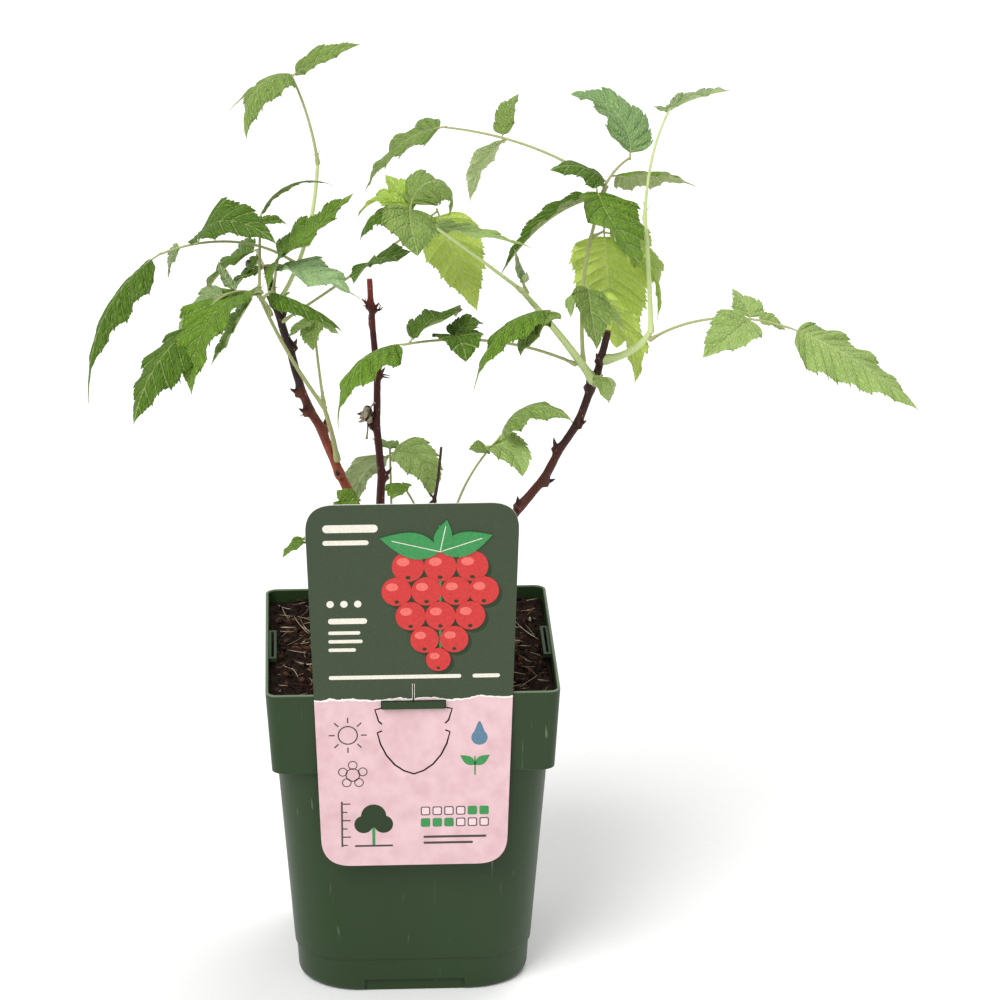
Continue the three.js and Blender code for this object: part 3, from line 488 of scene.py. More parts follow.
LEAVES = [
    Leaf(name="leaf_crest", on="shoot_crest", turn=124, rise=76, veer=1, bend=-30, long=40,
         tone=Tone.LIT, leaflets=[
        leaflet(1, 228, 29, 47, 20, veer=-16, bend=-138, roll=6, fold=-16),
        leaflet(0.97, 138, -10, 39, 8, veer=25, bend=-41, roll=-7),
        leaflet(0.98, 341, 39, 36, 12, veer=2, bend=-22, roll=32),
    ]),
    Leaf(name="leaf_arching", on="shoot_fork", turn=78, rise=85, veer=-4, bend=-4, long=34, leaflets=[
        leaflet(1, 15, 73, 40, 5, veer=-12, bend=-101, roll=-10, fold=-16, tone=Tone.DUSKY),
        leaflet(0.89, 44, 19, 16, 8, veer=-10, bend=-58, roll=12),
    ]),
    Leaf(name="leaf_folded", on="shoot_fork", at=0.97, turn=300, rise=35, long=8, tone=Tone.DEEP, leaflets=[
        leaflet(1, 293, 13, 43, 12, veer=100, bend=-68, fold=-40),
    ]),
    Leaf(name="leaf_far_left", on="shoot_crest", at=0.27, turn=209, rise=40, veer=-20, bend=-60, long=66,
         tone=Tone.DEEP, leaflets=[
        leaflet(0.74, 299, 62, 52, 24, veer=44, bend=-105, roll=32),
        leaflet(0.86, 120, -33, 21, 8, veer=11, bend=-52, roll=-65, tone=Tone.SILVER),
        leaflet(1, 197, -26, 77, 20, veer=31, bend=-66, roll=3, fold=-16, tail=0.17, sag=0.25),
    ]),
    Leaf(name="leaf_near_left", on="shoot_fork", at=0.86, turn=220, rise=70, veer=-13, bend=-133, long=46,
         leaflets=[
        leaflet(0.25, 222, 20, 66, 34, veer=21, bend=-113, roll=14),
        leaflet(1, 212, -18, 56, 28, veer=18, bend=-53, fold=-16, tone=Tone.DEEP),
        leaflet(0.5, 151, 25, 16, 7, veer=-17, bend=51, roll=4, tone=Tone.SILVER),
        leaflet(0.6, 163, -13, 37, 16, veer=10, bend=-75, roll=-19, tone=Tone.SILVER),
        leaflet(0.3, 134, -55, 44, 16, veer=22, bend=-4, roll=-40),
    ]),
    Leaf(name="leaf_back_left", on="cane_left", at=0.97, turn=102, rise=10, veer=3, bend=5, long=23,
         tone=Tone.DEEP, leaflets=[
        leaflet(1, 134, -20, 46, 20, veer=4, bend=-40, roll=-24),
        leaflet(0.4, 142, -49, 14, 7, veer=24, bend=40, roll=-20),
        leaflet(0.66, 129, -39, 38, 14, veer=-5, bend=-10, roll=-38),
    ]),
    Leaf(name="leaf_front_left", on="cane_left", at=0.93, turn=277, rise=49, veer=2, bend=4, long=23,
         leaflets=[
        leaflet(1, 18, 35, 46, 24, veer=14, bend=-2, roll=-5),
        leaflet(0.86, 323, 1, 43, 28, veer=39, bend=-39, roll=-2, tail=0.18, blunt=0.5, tone=Tone.HAZY),
        leaflet(0.93, 273, 30, 27, 12, veer=-29, bend=-87, roll=54),
    ]),
    Leaf(name="leaf_star", on="shoot_left", at=0.95, turn=123, rise=76, veer=13, bend=10, long=39,
         tone=Tone.BRIGHT, leaflets=[
        leaflet(0.96, 216, -21, 15, 9, roll=6),
        leaflet(1, 267, -48, 18, 12, roll=30),
        leaflet(0.96, 340, -27, 13, 9, roll=4),
    ]),
    Leaf(name="leaf_high_back", on="shoot_back", turn=132, rise=19, veer=28, bend=-18, long=86,
         tone=Tone.LIT, leaflets=[
        leaflet(0.67, 64, 77, 23, 13, veer=-15, bend=-50, roll=-18),
        leaflet(0.65, 135, -33, 42, 14, veer=-3, bend=-47, roll=5, tone=Tone.SILVER),
        leaflet(1, 151, -12, 56, 22, veer=12, bend=-58, roll=-20, fold=-16, sag=-0.35),
    ]),
    Leaf(name="leaf_front_crown", on="shoot_front", turn=223, rise=38, veer=-10, long=79,
         thick=(1.8, 1.2), tone=Tone.LIT, leaflets=[
        leaflet(1, 263, -13, 28, 25, veer=29, bend=-38, roll=-16, sag=0.3),
        leaflet(0.99, 31, 94, 40, 20, veer=-8, bend=-222, roll=30, fold=-16),
        leaflet(0.98, 129, 42, 21, 15, veer=4, bend=-11, roll=-3, tone=Tone.BACKLIT),
        leaflet(0.95, 147, 42, 34, 16, veer=2, bend=-106, roll=-10, tone=Tone.BACKLIT),
        leaflet(0.94, 155, 23, 37, 14, veer=-7, bend=-106, roll=-25, fold=-16, tone=Tone.DEEP),
    ]),
    Leaf(name="leaf_centre", on="cane_left", at=0.86, turn=339, rise=36, veer=22, bend=3, long=86,
         tone=Tone.DEEP, leaflets=[
        leaflet(0.6, 282, 13, 25, 14, veer=60, bend=11, roll=30),
        leaflet(0.56, 250, 4, 16, 14, veer=-24, bend=-54, roll=33),
        leaflet(0.84, 298, 21, 62, 16, veer=87, bend=-49, tone=Tone.BRIGHT),
        leaflet(1, 37, -67, 57, 28, veer=5, bend=3, roll=-44, tone=Tone.BACKLIT),
    ]),
    Leaf(name="leaf_young_pair", on="shoot_front", at=0.95, turn=181, rise=69, long=4, tone=Tone.SILVER,
         leaflets=[
        leaflet(1, 186, 65, 17, 6, bend=21, roll=-29),
        leaflet(0.8, 300, 62, 7, 4, bend=10),
    ]),
    Leaf(name="leaf_right_top", on="shoot_back", at=0.93, turn=20, rise=74, veer=-3, bend=-46, long=23,
         leaflets=[
        leaflet(1, 80, 54, 49, 24, veer=95, bend=-51, roll=28, blunt=0.3, wring=-48, tone=Tone.BLUISH),
        leaflet(0.32, 196, 53, 30, 18, bend=-71, roll=-15, fold=-16, tone=Tone.DEEP),
        leaflet(0.46, 39, -3, 58, 18, veer=4, bend=-26, roll=-34, fold=-16, tail=0.13),
    ]),
    Leaf(name="leaf_right_front", on="shoot_back", at=0.86, turn=262, rise=54, long=13, leaflets=[
        leaflet(1, 281, -33, 42, 32, veer=45, bend=-11, roll=-15, blunt=0.4, sag=-0.05),
        leaflet(0.66, 215, 0, 63, 14, veer=2, bend=-51, roll=15, fold=36, tone=Tone.DEEP),
    ]),
    Leaf(name="leaf_right_big", on="shoot_back", at=0.7, turn=49, rise=3, long=8, tone=Tone.BACKLIT,
         leaflets=[
        leaflet(1, 73, -71, 63, 36, veer=-19, bend=-7, roll=-4, blunt=0.4),
        leaflet(0.8, 24, -13, 63, 24, veer=20, bend=-89, roll=50),
    ]),
    Leaf(name="leaf_right_low", on="shoot_back", at=0.33, turn=274, rise=33, long=21, leaflets=[
        leaflet(1, 269, -33, 31, 20, veer=20, bend=-33, roll=-26, tone=Tone.LIT),
        leaflet(0.5, 223, 24, 17, 9, veer=28, bend=-110, roll=28, tone=Tone.BRIGHT),
        leaflet(0.3, 336, -28, 25, 12, veer=38, bend=-25, roll=14, tone=Tone.BRIGHT),
    ]),
    Leaf(name="leaf_behind_cane", on="shoot_back", at=0.4, turn=70, rise=-33, long=10, tone=Tone.BACKLIT,
         leaflets=[
        leaflet(1, 0, -30, 50, 28, bend=-65, roll=-30),
    ]),
    Leaf(name="leaf_drooping", on="shoot_front", at=0.62, turn=268, rise=41, veer=-11, bend=-6, long=11,
         leaflets=[
        leaflet(1, 219, 16, 59, 22, veer=1, bend=-94, roll=11, fold=-16, tail=0.12),
        leaflet(0.8, 241, -2, 27, 22, veer=-26, bend=-66, roll=15, tone=Tone.LIT),
    ]),
    Leaf(name="leaf_top_right", on="shoot_tall", turn=74, rise=79, veer=-28, bend=-33, long=50,
         tone=Tone.SILVER, leaflets=[
        leaflet(1, 23, 22, 32, 16, bend=-25, roll=-11),
        leaflet(0.97, 144, 9, 8, 6, roll=6),
        leaflet(0.98, 69, 2, 26, 9, roll=-37),
    ]),
    Leaf(name="leaf_far_right", on="shoot_right", at=0.9, turn=333, rise=36, veer=10, bend=-51, long=66,
         tone=Tone.BRIGHT, leaflets=[
        leaflet(0.74, 238, -3, 35, 22, veer=-27, bend=-27, roll=-24),
        leaflet(0.73, 92, 23, 20, 16, veer=41, bend=8, roll=16),
        leaflet(0.78, 12, -2, 15, 8, veer=-2, bend=-45, roll=28),
        leaflet(1, 347, -18, 69, 28, veer=-5, bend=-24, roll=24, fold=-16),
    ]),
    Leaf(name="leaf_mid_front", on="shoot_front", at=0.2, turn=211, rise=30, veer=-1, bend=-29, long=93,
         thick=(1.5, 1.1), tone=Tone.DEEP, leaflets=[
        leaflet(0.73, 286, 44, 23, 22, bend=-113),
        leaflet(0.72, 33, 66, 18, 16, veer=-6, bend=-99),
        leaflet(0.97, 26, 50, 40, 20, veer=50, bend=-90, roll=-14),
        leaflet(1, 203, 12, 55, 26, veer=22, bend=-109, roll=11, fold=-16, tail=0.16, tone=Tone.FRESH),
    ]),
    Leaf(name="leaf_low_right", foot=(15, -14), turn=258, rise=94, veer=75, bend=-46, long=127,
         tone=Tone.LIT, leaflets=[
        leaflet(0.92, 211, 10, 11, 9, roll=-19),
        leaflet(0.93, 316, 32, 25, 18, veer=-4, bend=-113, roll=12, tone=Tone.BRIGHT),
        leaflet(1, 318, 81, 44, 20, veer=24, bend=-121, roll=15, fold=-16),
    ]),
    Leaf(name="leaf_low_middle", foot=(-6, 15), turn=96, rise=79, veer=-4, bend=-4, long=86,
         tone=Tone.LIT, leaflets=[
        leaflet(0.97, 330, 30, 35, 20, veer=-13, bend=-135, roll=21, tone=Tone.BRIGHT),
        leaflet(0.96, 141, -21, 41, 20, bend=-68, roll=20, tone=Tone.SILVER),
        leaflet(1, 108, -2, 17, 12, roll=12),
    ]),
    Leaf(name="leaf_low_arch", foot=(12, -4), turn=214, rise=100, veer=-7, bend=-43, long=87, leaflets=[
        leaflet(1, 244, -19, 12, 12, roll=10),
    ]),
    Leaf(name="leaf_left_foot", foot=(-13, -13), turn=200, rise=82, veer=29, bend=-6, long=81, leaflets=[
        leaflet(1, 245, -19, 14, 13, roll=16),
        leaflet(0.97, 165, 41, 10, 11, roll=-31),
    ]),
    Leaf(name="leaf_low_left", foot=(-19, 3), turn=201, rise=98, veer=6, bend=-73, long=70, leaflets=[
        leaflet(1, 210, -32, 14, 10, roll=12),
        leaflet(0.86, 130, 10, 16, 11, bend=-50),
    ]),
    Leaf(name="leaf_node_tuft", on="cane_right", at=0.85, turn=281, rise=32, long=13, tone=Tone.BRIGHT,
         leaflets=[
        leaflet(1, 259, -29, 14, 9, veer=45, bend=-18, roll=-22),
        leaflet(0.9, 54, -18, 19, 7, veer=21, bend=-83),
    ]),
    Leaf(name="leaf_bud_tuft", on="cane_left", at=0.9, turn=276, rise=35, long=7, leaflets=[
        leaflet(1, 225, 45, 9, 6),
        leaflet(0.85, 320, 35, 9, 6),
    ]),
    Leaf(name="leaf_low_back", foot=(4, 19), turn=60, rise=70, bend=-60, long=52, leaflets=[
        leaflet(1, 70, 5, 46, 28, bend=-60),
        leaflet(0.92, 5, 12, 24, 20, bend=-70),
        leaflet(0.9, 140, 12, 34, 22, bend=-70),
    ]),
    Leaf(name="leaf_low_behind", foot=(-11, 20), turn=118, rise=76, bend=-66, long=46, leaflets=[
        leaflet(1, 112, -5, 38, 24, bend=-50),
        leaflet(0.9, 195, 15, 20, 15, bend=-70),
    ]),
]


# ------------------------------------------------------------------ finishes
BY, FROM, TO = 0, 6, 7  # inputs of a Mix node between two colours
COLOURS = {"out": 2, "data_type": "RGBA"}  # its output and its setting
LOW, HIGH, LEAST, MOST = 1, 2, 3, 4  # inputs of a MapRange node: the range it reads, the range it gives
TIMES = {"operation": "MULTIPLY"}
TIMES_PLUS = {"operation": "MULTIPLY_ADD"}


def linear(colour: str) -> tuple[float, float, float, float]:
    """Turns an sRGB colour to a linear one.

    Args:
        colour: the colour as a hex value.

    Returns:
        Red, green, blue and alpha.
    """
    parts = [int(colour[i:i + 2], 16) / 255 for i in (1, 3, 5)]
    red, green, blue = (c / 12.92 if c <= 0.04045 else ((c + 0.055) / 1.055) ** 2.4 for c in parts)
    return red, green, blue, 1.0


def grain(size: float) -> float:
    """Texture scale whose features are so many millimetres across."""
    return 1 / (size * MM)


class Nodes:
    """A material's nodes while its finish is painted."""

    def __init__(self, name: str) -> None:
        """Starts a material.

        Args:
            name: the material's name.
        """
        self.material = bpy.data.materials.new(name)
        self.material.use_nodes = True
        self.tree = self.material.node_tree
        self.place = self.add("TexCoord", out="Object")

    def plug(self, node: bpy.types.Node, inputs: dict) -> None:
        """Sets or links a node's inputs.

        Args:
            node: the node.
            inputs: a value, a hex colour or a source socket for each input, by name or number.
        """
        for key, value in inputs.items():
            if isinstance(value, Socket):
                self.tree.links.new(value, node.inputs[key])
            else:
                node.inputs[key].default_value = linear(value) if isinstance(value, str) else value

    def shade(self, **inputs: object) -> None:
        """Sets or links inputs of the shader, their names written with _ for a space."""
        shader = self.tree.nodes["Principled BSDF"]
        self.plug(shader, {name.replace("_", " "): value for name, value in inputs.items()})

    def add(self, kind: str, inputs: dict | None = None, out: int | str = 0,
            **settings: object) -> Socket:
        """Adds one node with its settings and links; a texture lies at the object's own place.

        Args:
            kind: the node's type, without the words in front.
            inputs: a value, a hex colour or a source socket for each input, by name or number.
            out: the output wanted, by name or number.
            settings: the node's own properties.

        Returns:
            That output.
        """
        node = self.tree.nodes.new("ShaderNode" + kind)
        for name, value in settings.items():
            setattr(node, name, value)
        texture = kind in ("TexNoise", "TexVoronoi", "Mapping")
        self.plug(node, ({"Vector": self.place} if texture else {}) | (inputs or {}))
        return node.outputs[out]


@dataclass(frozen=True)
class Finish:
    """What every finish shares: a name, its gloss and its refraction."""

    name: str = ""
    roughness: float = 0.5
    ior: float = 1.5
    gloss: float = 0.3

    def material(self) -> bpy.types.Material:
        """Makes the finish's material at its first use.

        Returns:
            The material.
        """
        known = bpy.data.materials.get(self.name)
        if known:
            return known
        nodes = Nodes(self.name)
        nodes.shade(Roughness=self.roughness, IOR=self.ior, Specular_IOR_Level=self.gloss)
        self.paint(nodes)
        return nodes.material

    def paint(self, nodes: Nodes) -> None:
        """Gives the shader its colour and relief."""
        raise NotImplementedError


@dataclass(frozen=True)
class MouldedPolypropylene(Finish):
    """Dark green recycled polypropylene, thermoformed: a satin skin with orange peel, handling scuffs and a
    painted highlight along the top edge of the rim.
    """

    body: str = "#22361a"
    light: str = "#293f20"
    # scuff colour: the real scuffs, and the painted highlight band along the rim's top edge
    scuff_and_highlight: str = "#7d8c74"

    def paint(self, nodes: Nodes) -> None:
        """Mottles the green, scuffs it, paints a highlight along the rim's top edge and gives it the skin of
        a moulding.

        Args:
            nodes: the material's nodes.
        """
        cloud = nodes.add("TexNoise", {"Scale": grain(38), "Detail": 3.0})
        colour = nodes.add("Mix", {BY: cloud, FROM: self.body, TO: self.light}, **COLOURS)
        slant = nodes.add("Mapping", {"Rotation": (0.4, 0.7, 0.5), "Scale": (1, 1, 0.06)})
        streak = nodes.add("TexNoise", {"Vector": slant, "Scale": grain(2.2), "Detail": 4.0})
        patch = nodes.add("TexNoise", {"Scale": grain(26), "Detail": 2.0})
        fine = nodes.add("MapRange", {0: streak, LOW: 0.66, HIGH: 0.72})
        near = nodes.add("MapRange", {0: patch, LOW: 0.54, HIGH: 0.66})
        scuffs_and_rim_highlight = nodes.add("Math", {0: nodes.add("Math", {0: fine, 1: near}, **TIMES), 1: 0.55}, **TIMES)
        height = nodes.add("SeparateXYZ", {0: nodes.place}, 2)
        # painted highlight: a pale band along the top edge of the rim, laid in the scuff colour
        lip_foot, lip_top = (POT_HEIGHT - 0.7) * MM, (POT_HEIGHT - 0.25) * MM
        lip = nodes.add("MapRange", {0: height, LOW: lip_foot, HIGH: lip_top, MOST: 0.65})
        scuffs_and_rim_highlight = nodes.add("Math", {0: scuffs_and_rim_highlight, 1: lip}, operation="MAXIMUM")
        gloss = nodes.add("MapRange", {0: cloud, LEAST: self.roughness - 0.06, MOST: self.roughness + 0.08})
        scuffed_and_highlit = nodes.add("Mix", {BY: scuffs_and_rim_highlight, FROM: colour, TO: self.scuff_and_highlight}, **COLOURS)
        peel = nodes.add("TexNoise", {"Scale": grain(1.3), "Detail": 2.0})
        bump = nodes.add("Bump", {"Height": peel, "Strength": 0.12, "Distance": 0.15 * MM})
        nodes.shade(Base_Color=scuffed_and_highlit, Roughness=gloss, Normal=bump)


@dataclass(frozen=True)
class Peat(Finish):
    """Moist peat compost and its bits: rough organic crumbs, darker where damp."""

    dark: str = "#110a08"
    pale: str = "#2d1f18"
    size: float = 3.0

    def paint(self, nodes: Nodes) -> None:
        """Mixes damp and dry tones at the size of the crumbs.

        Args:
            nodes: the material's nodes.
        """
        lump = nodes.add("TexNoise", {"Scale": grain(self.size), "Detail": 6.0})
        share = nodes.add("MapRange", {0: lump, LOW: 0.35, HIGH: 0.68})
        nodes.shade(Base_Color=nodes.add("Mix", {BY: share, FROM: self.dark, TO: self.pale}, **COLOURS))
        grit = nodes.add("TexNoise", {"Scale": grain(0.6), "Detail": 4.0})
        nodes.shade(Normal=nodes.add("Bump", {"Height": grit, "Strength": 0.7, "Distance": 0.5 * MM}))


@dataclass(frozen=True)
class PrintedCard(Finish):
    """Polypropylene sheet, printed on its front: green above, pale pink below a torn white edge."""

    upper: str = "#37442f"
    fleck: str = "#55634c"
    lower: str = "#dfbdc2"
    wash: str = "#d2adb1"
    bare: str = "#eceae4"
    # cut: painted shade on the card's edges and back round the slot and tongue, standing for the shadow in
    # the gaps
    cut: str = "#3b3430"
    seam_z: float = 149.2

    def paint(self, nodes: Nodes) -> None:
        """Prints the two fields by height, and leaves the back and the edges bare but for the cut edges round
        the slot and tongue, where shade is painted dark.

        Args:
            nodes: the material's nodes.
        """
        x, _, z = nodes.add("SeparateXYZ", {0: nodes.place}).node.outputs
        tear = nodes.add("TexNoise", {"Scale": grain(7), "Detail": 5.0})
        wander = nodes.add("Math", {0: tear, 1: 0.5}, operation="SUBTRACT")
        height = nodes.add("Math", {0: wander, 1: 6 * MM, 2: z}, **TIMES_PLUS)
        seam = self.seam_z * MM
        green = nodes.add("MapRange", {0: height, LOW: seam, HIGH: seam + 0.2 * MM})
        pink = nodes.add("MapRange", {0: height, LOW: seam - 0.6 * MM, HIGH: seam - 0.9 * MM})
        fleck = nodes.add("TexNoise", {"Scale": grain(0.8), "Detail": 3.0})
        faint = nodes.add("MapRange", {0: fleck, LOW: 0.45, HIGH: 0.75, MOST: 0.16})
        ground = nodes.add("Mix", {BY: faint, FROM: self.upper, TO: self.fleck}, **COLOURS)
        colour = nodes.add("Mix", {BY: green, FROM: self.bare, TO: ground}, **COLOURS)
        wash = nodes.add("MapRange", {0: tear, LOW: 0.35, HIGH: 0.7})
        washed = nodes.add("Mix", {BY: wash, FROM: self.lower, TO: self.wash}, **COLOURS)
        colour = nodes.add("Mix", {BY: pink, FROM: colour, TO: washed}, **COLOURS)
        facing = nodes.add("SeparateXYZ", {0: nodes.add("NewGeometry", out="True Normal")}, 1)
        front = nodes.add("MapRange", {0: facing, LOW: -0.5, HIGH: -0.8})
        # painted shade: edges and back within the slot and tongue area take the dark cut colour, as the
        # shadow in the cut gaps
        aside = nodes.add("Math", {0: x}, operation="ABSOLUTE")
        inner = nodes.add("MapRange", {0: aside, LOW: 18 * MM, HIGH: 19 * MM, LEAST: 1.0, MOST: 0.0})
        below = nodes.add("MapRange", {0: z, LOW: 151 * MM, HIGH: 152 * MM, LEAST: 1.0, MOST: 0.0})
        above = nodes.add("MapRange", {0: z, LOW: 111 * MM, HIGH: 112 * MM})
        cut_shade_mask = nodes.add("Math", {0: nodes.add("Math", {0: inner, 1: below}, **TIMES), 1: above}, **TIMES)
        edges = nodes.add("Mix", {BY: cut_shade_mask, FROM: self.bare, TO: self.cut}, **COLOURS)
        nodes.shade(Base_Color=nodes.add("Mix", {BY: front, FROM: edges, TO: colour}, **COLOURS))
        nodes.shade(Normal=nodes.add("Bump", {"Height": fleck, "Strength": 0.04, "Distance": 0.1 * MM}))


@dataclass(frozen=True)
class Ink(Finish):
    """Offset ink on polypropylene sheet: a flat colour with the fine dots of the press."""

    roughness: float = 0.4
    ior: float = 1.49
    colour: str = "#ffffff"
    dots: str = "#e8e8e8"

    def paint(self, nodes: Nodes) -> None:
        """Lays a faint second tone at the spacing of the press dots, drawn coarser than real to show.

        Args:
            nodes: the material's nodes.
        """
        screen = nodes.add("TexVoronoi", {"Scale": grain(0.9)}, "Distance")
        share = nodes.add("MapRange", {0: screen, LOW: 0.2, HIGH: 0.7})
        nodes.shade(Base_Color=nodes.add("Mix", {BY: share, FROM: self.colour, TO: self.dots}, **COLOURS))


@dataclass(frozen=True)
class CaneBark(Finish):
    """Smooth woody bark of a raspberry cane: fine long fibres, darker cracks and pale breathing pores."""

    low: str = "#7c4330"
    high: str = "#2c1a18"
    crack: str = "#1c0f0d"
    turn_z: float = 240.0
    spread: float = 40.0
    pore: str = "#a9836b"
    blotch: float = 90.0

    def paint(self, nodes: Nodes) -> None:
        """Runs from the lower tone to the upper one by height and draws fibres along the cane.

        Args:
            nodes: the material's nodes.
        """
        height = nodes.add("SeparateXYZ", {0: nodes.place}, 2)
        blotch = nodes.add("TexNoise", {"Scale": grain(14), "Detail": 3.0})
        wander = nodes.add("Math", {0: blotch, 1: self.blotch * MM, 2: height}, **TIMES_PLUS)
        middle, half = (self.turn_z + self.blotch / 2) * MM, self.spread / 2 * MM
        rise = nodes.add("MapRange", {0: wander, LOW: middle - half, HIGH: middle + half})
        colour = nodes.add("Mix", {BY: rise, FROM: self.low, TO: self.high}, **COLOURS)
        long = nodes.add("Mapping", {"Scale": (1, 1, 0.07)})
        fibre = nodes.add("TexNoise", {"Vector": long, "Scale": grain(0.7), "Detail": 4.0})
        split = nodes.add("MapRange", {0: fibre, LOW: 0.56, HIGH: 0.72})
        colour = nodes.add("Mix", {BY: split, FROM: colour, TO: self.crack}, **COLOURS)
        pore = nodes.add("TexVoronoi", {"Scale": grain(2.4)}, "Distance")
        dot = nodes.add("MapRange", {0: pore, LOW: 0.16, HIGH: 0.1, MOST: 0.6})
        nodes.shade(Base_Color=nodes.add("Mix", {BY: dot, FROM: colour, TO: self.pore}, **COLOURS))
        nodes.shade(Normal=nodes.add("Bump", {"Height": fibre, "Strength": 0.6, "Distance": 0.3 * MM}))


@dataclass(frozen=True)
class GreenStem(Finish):
    """Soft green wood of this year's growth: pale, faintly ribbed, flushed where the light strikes."""

    green: str = "#93a458"
    pale: str = "#b3bd7d"
    flush: str = "#a5885a"

    def paint(self, nodes: Nodes) -> None:
        """Streaks the green along the stem and flushes it in patches.

        Args:
            nodes: the material's nodes.
        """
        long = nodes.add("Mapping", {"Scale": (1, 1, 0.12)})
        rib = nodes.add("TexNoise", {"Vector": long, "Scale": grain(0.6), "Detail": 3.0})
        colour = nodes.add("Mix", {BY: rib, FROM: self.green, TO: self.pale}, **COLOURS)
        patch = nodes.add("TexNoise", {"Scale": grain(17), "Detail": 2.0})
        warm = nodes.add("MapRange", {0: patch, LOW: 0.56, HIGH: 0.8, MOST: 0.5})
        nodes.shade(Base_Color=nodes.add("Mix", {BY: warm, FROM: colour, TO: self.flush}, **COLOURS),
                    Subsurface_Weight=0.06, Subsurface_Radius=(0.6 * MM, 0.9 * MM, 0.2 * MM))
        nodes.shade(Normal=nodes.add("Bump", {"Height": rib, "Strength": 0.3, "Distance": 0.15 * MM}))


@dataclass(frozen=True)
class LeafFace(Finish):
    """Cuticle of a raspberry leaflet: satin green, wrinkled into small cells between sunken veins, with shade
    painted into the vein valleys and the creases between the cells.
    """

    colour: str = "#4f8429"
    vein: str = "#8db25c"
    vein_share: float = 0.25
    pucker: float = 0.5
    felt: float = 0.0
    valley_shade: float = 1.0
    # shadow and shine scale the green to the painted shade of the valleys and creases and the painted light
    # of the ridges
    shadow: tuple[float, ...] = (0.36, 0.46, 0.36, 1.0)
    shine: tuple[float, ...] = (1.62, 1.48, 1.4, 1.0)

    def paint(self, nodes: Nodes) -> None:
        """Mottles the green, paints shade into the vein valleys and the creases between cells, and draws
        veins and wrinkles along the blade's own notes.

        Args:
            nodes: the material's nodes.
        """
        rib, out = (nodes.add("Attribute", out="Fac", attribute_name=note) for note in ("rib", "out"))
        part = nodes.add("Math", {0: nodes.add("Math", {0: rib, 1: 0.5}, operation="ADD")}, operation="FRACT")
        apart = nodes.add("Math", {0: part, 1: 0.5}, operation="SUBTRACT")
        near = nodes.add("Math", {0: apart}, operation="ABSOLUTE")
        side_vein = nodes.add("MapRange", {0: near, LOW: 0.018, HIGH: 0.085, LEAST: 1.0, MOST: 0.0})
        midrib = nodes.add("MapRange", {0: out, LOW: 0.2, HIGH: 0.5, LEAST: 1.0, MOST: 0.0})
        veins = nodes.add("Math", {0: side_vein, 1: midrib}, operation="MAXIMUM")
        drift = nodes.add("TexNoise", {"Scale": grain(5), "Detail": 2.0}, "Color")
        along = nodes.add("Math", {0: rib, 1: 2.6}, **TIMES)
        across = nodes.add("Math", {0: out, 1: 0.62}, **TIMES)
        own = nodes.add("CombineXYZ", {0: along, 1: across})
        own = nodes.add("VectorMath", {0: drift, 1: (1.5, 1.5, 0), 2: own}, **TIMES_PLUS)
        cell = nodes.add("TexVoronoi", {"Vector": own, "Scale": 1.0}, "Distance", feature="DISTANCE_TO_EDGE")
        swollen = nodes.add("MapRange", {0: cell, LOW: 0.0, HIGH: 0.3})
        fine = nodes.add("TexNoise", {"Scale": grain(1.1), "Detail": 3.0})
        cloud = nodes.add("TexNoise", {"Scale": grain(11), "Detail": 3.0})
        # painted shade and light: darker towards the side veins and at the cell edges, lighter on the ridges
        # between, over a random mottle
        mottle_and_shade = nodes.add("Math", {0: cloud, 1: 0.4, 2: 0.25 - 0.65 * self.valley_shade}, **TIMES_PLUS)
        valley_shade_ramp = nodes.add("MapRange", {0: near, LOW: 0.02, HIGH: 0.15})
        for value, weight in ((near, 0.5 * self.valley_shade), (valley_shade_ramp, 0.3 * self.valley_shade),
                              (fine, 0.24 + 0.3 * self.valley_shade), (swollen, 0.12 + 0.22 * self.valley_shade)):
            mottle_and_shade = nodes.add("Math", {0: value, 1: weight, 2: mottle_and_shade}, **TIMES_PLUS)
        dark, light = (tuple(value * by for value, by in zip(linear(self.colour), shift))
                       for shift in (self.shadow, self.shine))
        ground = nodes.add("Mix", {BY: mottle_and_shade, FROM: dark, TO: light}, **COLOURS)
        share = nodes.add("Math", {0: veins, 1: self.vein_share}, **TIMES)
        nodes.shade(Base_Color=nodes.add("Mix", {BY: share, FROM: ground, TO: self.vein}, **COLOURS),
                    Sheen_Weight=self.felt, Sheen_Roughness=0.5, Subsurface_Weight=0.2,
                    Subsurface_Radius=(0.5 * MM, 0.9 * MM, 0.15 * MM))
        relief = nodes.add("Math", {0: fine, 1: 0.55, 2: swollen}, **TIMES_PLUS)
        relief = nodes.add("Math", {0: veins, 1: -0.4, 2: relief}, **TIMES_PLUS)
        bump = nodes.add("Bump", {"Height": relief, "Strength": self.pucker, "Distance": 0.9 * MM})
        nodes.shade(Normal=bump)


@dataclass(frozen=True)
class StudioPaper(Finish):
    """White seamless paper under the plant: matt, with a barely seen tooth."""

    colour: str = "#f6f6f5"
    tooth: str = "#fbfbfa"

    def paint(self, nodes: Nodes) -> None:
        """Lays the paper's tooth over a nearly even white."""
        tooth = nodes.add("TexNoise", {"Scale": grain(3), "Detail": 2.0})
        nodes.shade(Base_Color=nodes.add("Mix", {BY: tooth, FROM: self.colour, TO: self.tooth}, **COLOURS))


